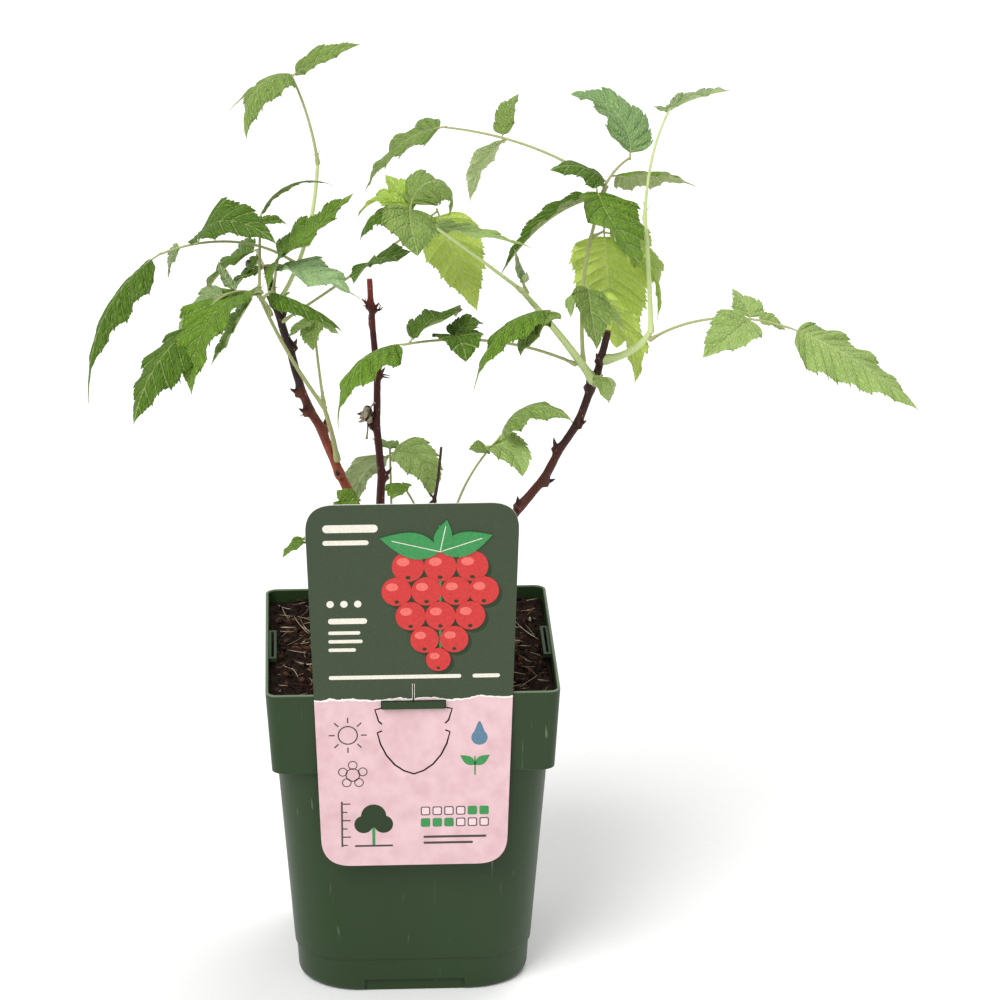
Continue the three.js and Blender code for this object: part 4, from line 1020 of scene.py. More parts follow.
POT_PLASTIC = MouldedPolypropylene("pot_moulded_polypropylene", 0.42, 1.49)
CARD = PrintedCard("label_printed_sheet", 0.38, 1.49)
PEAT = Peat("moist_peat", 0.92, 1.4, 0.15)
BARK_BIT = Peat("shredded_bark", 0.85, 1.45, 0.2, "#2c1b13", "#5d3f2d", 4.0)
STRAW = Peat("dry_fibre", 0.8, 1.45, 0.2, "#9c8468", "#dccdb2", 5.0)
DRY_LEAF = Peat("withered_leaf", 0.8, 1.45, 0.2, "#231511", "#4f382b", 2.0)
HUSK_LEAF = Peat("withered_sepal", 0.75, 1.45, 0.25, "#57542f", "#d3c6b4", 2.0)
STEM = GreenStem("hairy_green_stem", 0.5, 1.42, 0.3, "#929a5c", "#b9be8c", "#a08468")
PALE_STEM = GreenStem("pale_green_stem", 0.5, 1.42, 0.3, "#b5ca7c", "#d5e1aa", "#b5b083")
CUT_WOOD = GreenStem("cut_cane_wood", 0.7, 1.5, 0.2, "#8c6a4b", "#a3835f", "#6b4a37")
BUD_SCALE = CaneBark("bud_scales", 0.5, 1.5, 0.3, "#321917", "#4c2c20", "#180c0a", 260, 80)
BARKS = {
    "cane_left": CaneBark("bark_left_cane", 0.5, 1.5, 0.3, "#8c4128", "#23120f", "#3a1b12", 262, 34),
    "cane_middle": CaneBark("bark_middle_cane", 0.5, 1.5, 0.3, "#431614", "#7c2f24", "#220c0a", 298, 26),
    "cane_right": CaneBark("bark_right_cane", 0.5, 1.5, 0.3, "#5c2a1d", "#351812", "#1c0c09", 226, 60),
    "cane_stub": CaneBark("bark_dry_stub", 0.6, 1.5, 0.3, "#33211b", "#463830", "#16100d", 200, 40),
}
OLD_JOINTS = {
    "cane_left": ((0.64, 200), (0.88, 20)),
    "cane_middle": ((0.93, 250), (0.92, 80)),
    "cane_right": ((0.88, 90), (0.84, 300)),
}
BARK, SCALES, DRY, CUT, HUSK = range(5)  # finish slots of a cane
PALE_LIMBS = ("shoot_crest", "shoot_front", "shoot_right", "shoot_tall", "leaf_front_crown", "leaf_top_right")


class Press(Enum):
    """The inks of the label's print, in the order of their finish slots."""

    CREAM = Ink("ink_cream", colour="#ece7da", dots="#dfd9cb")
    RED = Ink("ink_red", colour="#cf3a38", dots="#c03331")
    ROSE = Ink("ink_rose", colour="#e8746c", dots="#dd675f")
    LEAF = Ink("ink_leaf_green", colour="#3f9353", dots="#36864a")
    FOREST = Ink("ink_forest_green", colour="#26391f", dots="#21331b")
    DARK = Ink("ink_charcoal", colour="#3d3937", dots="#474341")
    SKY = Ink("ink_sky", colour="#5f8298", dots="#55788e")
    BLUSH = Ink("ink_blush", colour="#ecd0d4", dots="#e6c8cd")


# ------------------------------------------------------------------ pot
@dataclass
class Pot:
    """The square pot: tapering walls under a deep collar, a rounded foot and a recessed underside."""

    corner_steps: int = 12
    round_sides: int = 40
    frame_low: float = SOIL_TOP + 1.6
    frame_half: float = 17.0
    notch_half: float = 22.5
    notch_height: float = 6.0
    pad_radius: float = 9.0
    drain_radius: float = 4.0
    drain_out: float = 26.0
    ledge: tuple[float, float, float, float] = (13.9, 144.8, 147.9, 3.2)

    def ring(self, z: float, half: float, corner: float) -> Array:
        """Lays a square ring with round corners.

        Args:
            z: its height.
            half: half its width.
            corner: radius of its corners.

        Returns:
            Its points, counter-clockwise from above.
        """
        points = []
        for quarter in range(4):
            middle = math.pi / 2 * (quarter + 0.5)
            for step in range(self.corner_steps + 1):
                angle = math.pi / 2 * (quarter + step / self.corner_steps)
                x, y = (math.copysign(half - corner, way(middle)) + corner * way(angle)
                        for way in (math.cos, math.sin))
                points.append((x, y, z))
        return np.array(points)

    @staticmethod
    def form(rings: Sequence[Array]) -> Piece:
        """Closed form of the pot's plastic through a row of rings."""
        return Skin().form(rings).piece("pot_form", [POT_PLASTIC])

    def loft(self, *levels: tuple[float, float, float]) -> Piece:
        """Closed form through levels of height, half width and corner radius."""
        return self.form([self.ring(*level) for level in levels])

    def block(self, low: Sequence[float], high: Sequence[float], turn: float = 0.0) -> Piece:
        """Makes a box.

        Args:
            low: its low corner.
            high: its high corner.
            turn: angle in radians that it is turned about the pot's upright axis.

        Returns:
            The box.
        """
        (x0, y0, z0), (x1, y1, z1) = low, high
        floor = turned(np.array([(x0, y0), (x1, y0), (x1, y1), (x0, y1)]), turn)
        return self.form([np.insert(floor, 2, z, axis=1) for z in (z0, z1)])

    def disc(self, radius: float, low: float, high: float, x: float = 0, y: float = 0) -> Piece:
        """Upright round form between two heights, about a middle."""
        floor = oval(x, y, radius, radius, self.round_sides)
        return self.form([np.insert(floor, 2, z, axis=1) for z in (low, high)])

    @staticmethod
    def collar_inside(z: float) -> float:
        """Half width inside the collar at a height."""
        share = (z - COLLAR_FOOT_Z) / (POT_HEIGHT - COLLAR_FOOT_Z)
        return COLLAR_FOOT_HALF + (RIM_HALF - COLLAR_FOOT_HALF) * share - WALL

    def outside(self) -> Piece:
        """Makes the outer form, with the fillets of its rim, collar, mould line and foot.

        Returns:
            The form.
        """
        foot, band, collar, top = BODY_FOOT_HALF, FOOT_BAND_Z, COLLAR_FOOT_Z, POT_HEIGHT
        round_, body, bend, under = FOOT_CORNER, BODY_CORNER, COLLAR_CORNER, COLLAR_FOOT_HALF
        return self.loft(
            (0.0, foot - 2.9, round_ - 0.6), (0.25, foot - 2.45, round_), (0.8, foot - 1.9, round_),
            (1.8, foot - 1.2, round_), (3.4, foot - 0.75, round_),
            (band - 0.5, foot - 0.1, round_ - 1), (band, foot, round_ - 1),
            (band + 0.25, foot + 0.42, round_ - 1.3), (band + 0.7, foot + 0.7, round_ - 1.5),
            (band + 1.6, foot + 0.78, round_ - 1.6),
            (collar - 2.4, BODY_TOP_HALF - 0.12, body), (collar - 0.9, BODY_TOP_HALF, body),
            (collar - 0.5, BODY_TOP_HALF + 0.25, body - 2),
            (collar, under - 1.0, bend + 3), (collar + 0.15, under - 0.45, bend + 1),
            (collar + 0.6, under - 0.08, bend), (collar + 1.4, under, bend),
            (top - 1.2, RIM_HALF - 0.05, bend), (top - 0.55, RIM_HALF, bend),
            (top - 0.2, RIM_HALF - 0.15, bend), (top - 0.02, RIM_HALF - 0.45, bend),
            (top, RIM_HALF - 0.6, bend),
        )

    def inside(self) -> Piece:
        """Makes the inner form that hollows the pot, flared at the rim's inner edge.

        Returns:
            The form.
        """
        inner, collar, top, bend = self.collar_inside, COLLAR_FOOT_Z, POT_HEIGHT, COLLAR_CORNER
        return self.loft(
            (FLOOR_TOP_Z, BODY_FOOT_HALF - WALL - 2, FOOT_CORNER - 2),
            (FLOOR_TOP_Z + 2, BODY_FOOT_HALF - WALL, FOOT_CORNER - 2),
            (collar - 1.5, BODY_TOP_HALF - WALL - 0.1, BODY_CORNER - 1),
            (collar + 0.6, BODY_TOP_HALF - WALL, BODY_CORNER - 1),
            (collar + 2.2, inner(collar + 2.2), bend - 1), (collar + 3.4, inner(collar + 3.4), bend - 1),
            (top - 0.9, inner(top - 0.9), bend - 1), (top - 0.35, inner(top) + 0.05, bend - 1),
            (top - 0.05, inner(top) + 0.3, bend - 0.8), (top + 1, inner(top) + 1.6, bend),
        )

    def underside(self, body: Piece) -> None:
        """Hollows the foot and leaves a skirt, a ring of tabs inside it and a middle pad.

        Args:
            body: the pot so far.
        """
        half, corner, under = BODY_FOOT_HALF, FOOT_CORNER, FLOOR_UNDER_Z
        hollow = self.loft((-1, half - 4.1, corner - 2), (under, half - 2.8, corner - 2))
        carve(hollow, self.loft((-2, half - 8, corner - 6), (under + 1, half - 7.8, corner - 6)))
        carve(body, hollow)
        well = self.loft((-1, half - 9.6, corner - 7), (under, half - 9.4, corner - 7))
        carve(well, self.disc(self.pad_radius, -2, under + 1))
        carve(body, well)

    def openings(self, body: Piece) -> None:
        """Cuts the notches and gaps of the foot and the four drain holes.

        Args:
            body: the pot so far.
        """
        edge, half, tall, out = -BODY_FOOT_HALF - 2, self.notch_half, self.notch_height, self.drain_out
        for side in range(4):
            turn = side * math.pi / 2
            carve(body, self.block((-half, edge - 0.5, -1), (half, edge + 4.5, tall), turn))
            carve(body, self.block((6, edge + 7, -1), (12, edge + 13, tall), turn))
        for x, y in ((-out, -out), (-out, out), (out, -out), (out, out)):
            carve(body, self.disc(self.drain_radius, FLOOR_UNDER_Z - 1, FLOOR_TOP_Z + 1, x, y))

    def rim_frames(self, body: Piece) -> None:
        """Joins the small open frames inside the rim and the label's ledge on the collar.

        Args:
            body: the pot so far.
        """
        low, far = self.frame_low, self.frame_half
        for side in (-1, 1):
            wall = side * (self.collar_inside(POT_HEIGHT) + 0.4)
            lip = wall - side * 4
            rail = self.block((min(wall, lip), -far, low), (max(wall, lip), far, low + 1.6))
            near, away = sorted((wall - side * 1.6, lip + side * 1.2))
            carve(rail, self.block((near, 2 - far, low - 1), (away, far - 2, low + 3)))
            carve(body, rail, "UNION")
        half, foot, top, reach = self.ledge
        carve(body, self.block((-half, -RIM_HALF - reach, foot), (half, -RIM_HALF + 1.2, top)), "UNION")

    def build(self) -> None:
        """Makes the pot and lets it stand for its node."""
        body = self.outside()
        carve(body, self.inside())
        self.underside(body)
        self.openings(body)
        self.rim_frames(body)
        body.name = body.data.name = "nursery_pot"
        body.data.polygons.foreach_set("use_smooth", [True] * len(body.data.polygons))
        body.data.set_sharp_from_angle(angle=math.radians(32))
        even = body.modifiers.new("even_normals", "WEIGHTED_NORMAL")
        even.keep_sharp = True
        settle(body, "pot_plastic", "pot")


# ------------------------------------------------------------------ compost
@dataclass
class Compost:
    """The filling: a crumbly mound of peat with bark bits and dry fibres worked through it."""

    seed: int = 11
    rings: int = 84
    round_steps: int = 320
    mound: float = 2.2
    swells: tuple[tuple[float, float, float], ...] = (  # size, height and twist, from long swells to crumbs
        (31, 0.9, 0.4), (13, 0.8, 1.3), (6.1, 0.75, 2.2), (3.3, 0.6, 0.9), (1.9, 0.4, 2.8),
    )
    lumps: int = 1500
    chips: int = 260
    fibres: int = 560
    bark_share: float = 0.22
    peat_slot: int = 0
    bark_slot: int = 1
    straw_slot: int = 2

    def height(self, x: Array, y: Array) -> Array:
        """Finds the relief of the surface.

        Args:
            x: places to the right.
            y: places to the back.

        Returns:
            The heights.
        """
        z = SOIL_TOP - 0.8 + self.mound * np.exp(-(x**2 + y**2) / 2400)
        for size, tall, twist in self.swells:
            u = (x * math.cos(twist) + y * math.sin(twist)) / size * 2 * math.pi
            v = (y * math.cos(twist) - x * math.sin(twist)) / size * 2 * math.pi
            bent_u, bent_v = u + 1.7 * np.sin(v * 0.53 + size), v + 1.3 * np.sin(u * 0.47 + twist)
            z = z + tall * np.sin(bent_u) * np.cos(bent_v)
        return z

    def outline(self, pot: Pot, half: float, corner: float = COLLAR_CORNER, z: float = SOIL_TOP) -> Array:
        """Lays a square ring cut into even steps along its sides.

        Args:
            pot: the pot that it fills.
            half: half its width.
            corner: radius of its corners.
            z: its height.

        Returns:
            Its points.
        """
        coarse = pot.ring(z, half, corner)
        closed = np.vstack([coarse, coarse[:1]])
        along = np.concatenate([[0], np.cumsum(np.linalg.norm(np.diff(closed, axis=0), axis=1))])
        steps = np.linspace(0, along[-1], self.round_steps, endpoint=False)
        return np.column_stack([np.interp(steps, along, closed[:, axis]) for axis in range(3)])

    def surface(self, pot: Pot) -> Skin:
        """Makes mound, walls and bottom in one closed form.

        Args:
            pot: the pot that it fills.

        Returns:
            The mesh under construction.
        """
        gap = CLEAR + 0.05
        rings = [
            self.outline(pot, BODY_FOOT_HALF - WALL - gap - 0.3, FOOT_CORNER - 2, FLOOR_TOP_Z + CLEAR),
            self.outline(pot, BODY_TOP_HALF - WALL - gap, BODY_CORNER - 1, COLLAR_FOOT_Z + 0.6),
            self.outline(pot, pot.collar_inside(COLLAR_FOOT_Z) - gap, COLLAR_CORNER, COLLAR_FOOT_Z + 2.6),
        ]
        edge, brink = self.outline(pot, pot.collar_inside(SOIL_TOP) - gap)[:, :2], SOIL_TOP - 1.2
        for ring in range(self.rings):
            share = 1 - ring / self.rings
            flat = edge * share
            inner = np.clip((1 - share) * 12, 0, 1)
            rings.append(np.column_stack([flat, brink + (self.height(*flat.T) - SOIL_TOP + 1.2) * inner]))
        return Skin().form(rings)

    def scatter(self, rng: Draw, half: float, count: int) -> tuple[Array, Array, Array]:
        """Random places on the surface, as x, y and height."""
        x, y = rng.uniform(-half, half, (2, count))
        return x, y, self.height(x, y)

    def crumbs(self, skin: Skin, rng: Draw, half: float) -> None:
        """Strews rough lumps of peat and bark over the surface, each half sunk.

        Args:
            skin: the mesh that takes them.
            rng: the seeded draw.
            half: how far out they lie.
        """
        ball = bpy.data.meshes.new("crumb_form")
        form = bmesh.new()
        bmesh.ops.create_icosphere(form, subdivisions=1, radius=1)
        form.to_mesh(ball)
        form.free()
        corners = np.array([v.co for v in ball.vertices])
        faces = [tuple(p.vertices) for p in ball.polygons]
        bpy.data.meshes.remove(ball)
        for x, y, z in zip(*self.scatter(rng, half, self.lumps)):
            size = 0.5 + 1.5 * rng.random() ** 2.2
            stretch = rng.uniform(0.6, 1.3, 3) * (1, 1, 0.75)
            rough = corners * rng.uniform(0.72, 1.25, (len(corners), 1)) * stretch * size
            turn = rng.uniform(0, math.tau)
            cos, sin = math.cos(turn), math.sin(turn)
            rough = rough @ np.array([[cos, sin, 0], [-sin, cos, 0], [0, 0, 1]])
            skin.add(rough + (x, y, z + 0.1 * size), faces,
                     self.bark_slot if rng.random() < self.bark_share else self.peat_slot)

    def slivers(self, skin: Skin, rng: Draw, half: float) -> None:
        """Lays flat bark chips and bent dry fibres across the lumps.

        Args:
            skin: the mesh that takes them.
            rng: the seeded draw.
            half: how far out they reach.
        """
        shape, section = np.array([0.35, 1, 1.1, 0.9, 0.2]), (1, 0.45, 0.7, 0.7, 0.45)
        chip, fibre = ((2.5, 7), (0.5, 1.3), 0.1), ((4, 15), (0.1, 0.26), 0.75)
        for k, (x, y, z) in enumerate(zip(*self.scatter(rng, half, self.chips + self.fibres))):
            longs, wides, pale = chip if k < self.chips else fibre
            long = rng.uniform(*longs)
            turn, rise, veer, bend = draws(rng, (0, 360), (-12, 14), (-60, 60), (-20, 20))
            line = Growth(np.array([x, y, z + 0.7]), Habit(turn, rise, long, veer, bend))
            if np.abs(line.at(1.0)[:2]).max() > half:
                continue
            rings = line.rings(np.linspace(0, 1, len(shape)), rng.uniform(*wides) * shape, section)
            skin.form(rings, self.straw_slot if rng.random() < pale else self.bark_slot)

    def build(self, pot: Pot) -> None:
        """Makes the filling and the bits strewn on it.

        Args:
            pot: the pot that it fills.
        """
        rng = np.random.default_rng(self.seed)
        half = pot.collar_inside(SOIL_TOP) - 2.2
        settle(self.surface(pot).piece("peat_filling", [PEAT], 80), "compost", "soil")
        bits = Skin()
        self.crumbs(bits, rng, half)
        self.slivers(bits, rng, half)
        settle(bits.piece("peat_crumbs_and_fibres", [PEAT, BARK_BIT, STRAW], 50), "compost")


# ------------------------------------------------------------------ label
@dataclass
class PlantLabel:
    """The hanging card, with a slot, a tongue and a slit cut in it; places on it are x and z."""

    top: float = 240.0
    foot: float = 69.0
    top_half: float = 46.8
    foot_half: float = 40.9
    corner: float = 13.0
    thick: float = 0.8
    kerf: float = 0.75
    steps: int = 14
    slot: tuple[float, float, float] = (14.3, 144.5, 148.2)
    shoulder: Places = ((14.0, 144.6), (17.0, 144.0), (15.4, 138.5), (13.9, 137.0))
    tongue: Places = (
        (13.9, 133.8), (16.0, 133.0), (14.6, 127.4), (12.0, 122.0), (8.4, 117.5), (4.4, 114.6), (0.0, 113.0),
    )
    slit: Places = ((0.0, 148.0), (0.0, 156.0))

    @property
    def front(self) -> float:
        """Where the printed face stands, front to back."""
        return -RIM_HALF - CLEAR - self.thick

    def half(self, z: float) -> float:
        """Half width of the card at a height."""
        lean = (self.top_half - self.foot_half) / (self.top - self.foot)
        return self.foot_half + lean * (z - self.foot)

    def outline(self) -> Array:
        """Draws the card's edge with its round corners.

        Returns:
            Its points, counter-clockwise seen from the front.
        """
        half, low, high, turn = self.half, self.foot, self.top, self.corner
        bends = np.array([
            ((half(low) - turn, low), (half(low), low), (half(low + turn), low + turn)),
            ((half(high - turn), high - turn), (half(high), high), (half(high) - turn, high)),
        ])
        right = []
        for start, middle, end in bends:
            for t in np.linspace(0, 1, self.steps):
                right.append((1 - t) ** 2 * start + 2 * t * (1 - t) * middle + t * t * end)
        right = np.array(right)
        return np.vstack([right, right[::-1] * (-1, 1)])

    def cut(self, body: Piece, edge: Array) -> None:
        """Cuts a form with the given edge right through the card."""
        carve(body, Skin().plate(edge, self.front - 2, self.front + 4).piece("label_cut", [CARD], 0))

    def score(self, body: Piece, points: Sequence[tuple[float, float]]) -> None:
        """Cuts a thin line right through the card.

        Args:
            body: the card so far.
            points: the run that the line follows.
        """
        path = np.array(points)
        ways = np.diff(path, axis=0)
        ways /= np.linalg.norm(ways, axis=1)[:, None]
        mean = np.vstack([ways[:1], ways[:-1] + ways[1:], ways[-1:]])
        mean /= np.linalg.norm(mean, axis=1)[:, None]
        across = np.column_stack([-mean[:, 1], mean[:, 0]]) * self.kerf / 2
        self.cut(body, np.vstack([path - across, (path + across)[::-1]]))

    def build(self) -> None:
        """Makes the card and its print."""
        form = Skin().plate(self.outline(), self.front, self.front + self.thick)
        card = form.piece("hanging_label", [CARD], 0)
        half, low, high = self.slot
        self.cut(card, np.array([(-half, low), (half, low), (half, high), (-half, high)]))
        self.score(card, self.shoulder)
        self.score(card, [(-x, z) for x, z in self.shoulder])
        self.score(card, [*self.tongue, *((-x, z) for x, z in self.tongue[-2::-1])])
        self.score(card, self.slit)
        settle(card, "label_card", "label")
        settle(LabelPrint(self.front).drawn(), "label_card")


@dataclass
class LabelPrint:
    """The plain garden print on the label: flat forms of ink, each level a film prouder than the last."""

    front: float
    film: float = 0.015
    sunk: float = 0.05
    skin: Skin = field(default_factory=Skin)

    def lay(self, ink: Press, edge: Array, level: int = 1) -> None:
        """Lays one form of ink, so many films proud."""
        slot = list(Press).index(ink)
        self.skin.plate(edge, self.front - self.film * level, self.front + self.sunk, slot)

    @staticmethod
    def about(x: float, z: float, radius: float, turn: float) -> tuple[float, float]:
        """Place at a distance from a middle, at an angle in degrees."""
        return x + radius * math.cos(math.radians(turn)), z + radius * math.sin(math.radians(turn))

    def bar(self, ink: Press, x: float, z: float, wide: float, tall: float, bend: float | None = None,
            level: int = 1) -> None:
        """Lays a bar with round ends, or with round corners.

        Args:
            ink: its ink.
            x: where its middle lies, to the right.
            z: where its middle lies, upwards.
            wide: its width.
            tall: its height.
            bend: radius of its corners; None rounds its ends.
            level: how many films proud it lies.
        """
        radius = 0.49 * tall if bend is None else bend
        points = []
        for quarter, (sx, sz) in enumerate(((1, 1), (-1, 1), (-1, -1), (1, -1))):
            for t in np.linspace(0, math.pi / 2, 7):
                angle = quarter * math.pi / 2 + t
                points.append((x + sx * (wide / 2 - radius) + radius * math.cos(angle),
                               z + sz * (tall / 2 - radius) + radius * math.sin(angle)))
        self.lay(ink, np.array(points), level)

    def stroke(self, ink: Press, start: tuple[float, float], long: float, turn: float, line: float,
               level: int = 1) -> None:
        """Lays a straight stroke of a line's width, that heads off from its start at an angle in degrees."""
        edge = np.array([(0, -line / 2), (long, -line / 2), (long, line / 2), (0, line / 2)])
        self.lay(ink, turned(edge, math.radians(turn)) + start, level)

    def leaf(self, root: tuple[float, float], long: float, wide: float, turn: float, level: int = 1) -> None:
        """Lays a pointed leaf.

        Args:
            root: where it begins.
            long: its length.
            wide: its width.
            turn: the angle at which it heads off, in degrees.
            level: how many films proud it lies.
        """
        t = np.linspace(0, 1, 14)
        half = wide / 2 * np.sin(np.pi * t**0.8)
        low, high = np.column_stack([t * long, -half]), np.column_stack([t * long, half])[-2:0:-1]
        self.lay(Press.LEAF, turned(np.vstack([low, high]), math.radians(turn)) + root, level)

    def hoop(self, x: float, z: float, radius: float, line: float) -> None:
        """Lays a thin dark ring as a row of short plates.

        Args:
            x: where its middle lies, to the right.
            z: where its middle lies, upwards.
            radius: its radius.
            line: its width.
        """
        inner, outer = radius - line / 2, radius + line / 2
        angle = np.linspace(0, math.tau, 37)
        for a, b in zip(angle, angle[1:]):
            corners = ((inner, a), (outer, a), (outer, b), (inner, b))
            self.lay(Press.DARK, np.array([(x + r * math.cos(t), z + r * math.sin(t)) for r, t in corners]))

    def bunch(self) -> None:
        """Draws a hanging bunch of plain round berries under three leaves."""
        rows = (
            (211.0, (-2, 12, 26), 7.0), (199.5, (-7, 6, 19, 31), 6.6), (188.0, (-1, 12, 25), 6.6),
            (177.0, (5, 18), 6.2), (167.5, (11,), 5.4),
        )
        berries = [(x, z, radius) for z, places, radius in rows for x in places]
        for x, z, radius in berries:
            self.lay(Press.FOREST, oval(x + 1.5, z - 1.7, radius, radius))
        self.stroke(Press.LEAF, (12, 172), 58, 90, 1.1, 2)
        for number, (x, z, radius) in enumerate(berries):
            level = 3 + 3 * number
            shine = oval(x - radius * 0.3, z + radius * 0.32, radius * 0.4, radius * 0.28)
            self.lay(Press.RED, oval(x, z, radius, radius), level)
            self.lay(Press.ROSE, shine, level + 1)
            self.lay(Press.FOREST, oval(x, z - radius * 0.72, radius * 0.16, radius * 0.12), level + 1)
        for level, (long, wide, turn) in zip((45, 47, 49), ((27, 12, 166), (24, 11, 18), (15, 8, 78))):
            self.leaf((12, 218), long, wide, turn, level)
            self.stroke(Press.CREAM, (12, 218), long * 0.8, turn, 0.35, level + 1)

    def upper_field(self) -> None:
        """Draws the bunch beside bars that stand in place of words."""
        self.bunch()
        for x, z, wide, tall in (
            (-27, 229, 24, 3.6), (-29, 222.5, 20, 2.2), (-28.5, 186, 17, 2.6), (-30, 180.5, 14, 1.6),
            (-29.5, 176.5, 15, 1.6), (-31, 172.5, 12, 1.6), (-8, 159.4, 58, 1.8), (32, 159.4, 12, 1.8),
        ):
            self.bar(Press.CREAM, x, z, wide, tall)
        for x in (-36, -30, -24):
            self.lay(Press.CREAM, oval(x, 194, 1.6, 1.6, 24))
        for x in (-0.42, 0.42):
            self.stroke(Press.CREAM, (x, 148.5), 7.6, 90, 0.22)

    def signs(self) -> None:
        """Draws a sun, a drop, a sprout and a flower."""
        self.hoop(-29, 132, 4.2, 0.6)
        for turn in range(0, 360, 45):
            self.stroke(Press.DARK, self.about(-29, 132, 5.8, turn), 2.6, turn, 0.6)
        drop = oval(29, 130, 3.6, 3.6)
        drop[5:16, 1] += 4.2 * np.sin(np.linspace(0, math.pi, 11)) ** 2
        self.lay(Press.SKY, drop)
        self.stroke(Press.LEAF, (27, 112), 9, 90, 0.7)
        self.leaf((27, 117), 8, 4, 35)
        self.leaf((27, 117), 8, 4, 145)
        self.hoop(-27, 113, 3.0, 0.5)
        for turn in range(90, 450, 72):
            self.hoop(*self.about(-27, 113, 4.6, turn), 1.9, 0.45)

    def lower_field(self) -> None:
        """Draws the signs, a bush beside a height scale, and twelve month marks over two bars."""
        self.signs()
        self.stroke(Press.DARK, (-32, 78.2), 22, 90, 0.8)
        for k in range(6):
            self.stroke(Press.DARK, (-31.6, 79 + 4 * k), 3.4 if k % 2 else 2.0, 0, 0.6)
        self.stroke(Press.LEAF, (-18, 79), 9, 90, 1.4)
        for x, z, radius, level in ((-18, 93, 5.6, 4), (-22.4, 89, 4.2, 2), (-13.6, 89, 4.2, 3)):
            self.lay(Press.FOREST, oval(x, z, radius, radius), level)
        self.bar(Press.DARK, -18, 78.6, 17, 0.9)
        for k in range(12):
            x, z, picked = 5 + 5.2 * (k % 6), 95 - 5.6 * (k // 6), 4 <= k <= 8
            self.bar(Press.LEAF if picked else Press.DARK, x, z, 4.2, 4.2, 0.8)
            self.bar(Press.LEAF if picked else Press.BLUSH, x, z, 3.2, 3.2, 0.5, 2)
        for z, wide in ((82.5, 28), (79.6, 22)):
            self.bar(Press.DARK, 4 + wide / 2, z, wide, 1.1)

    def drawn(self) -> Piece:
        """Draws the whole print.

        Returns:
            The finished object.
        """
        self.upper_field()
        self.lower_field()
        return self.skin.piece("label_print", [ink.value for ink in Press], 0)


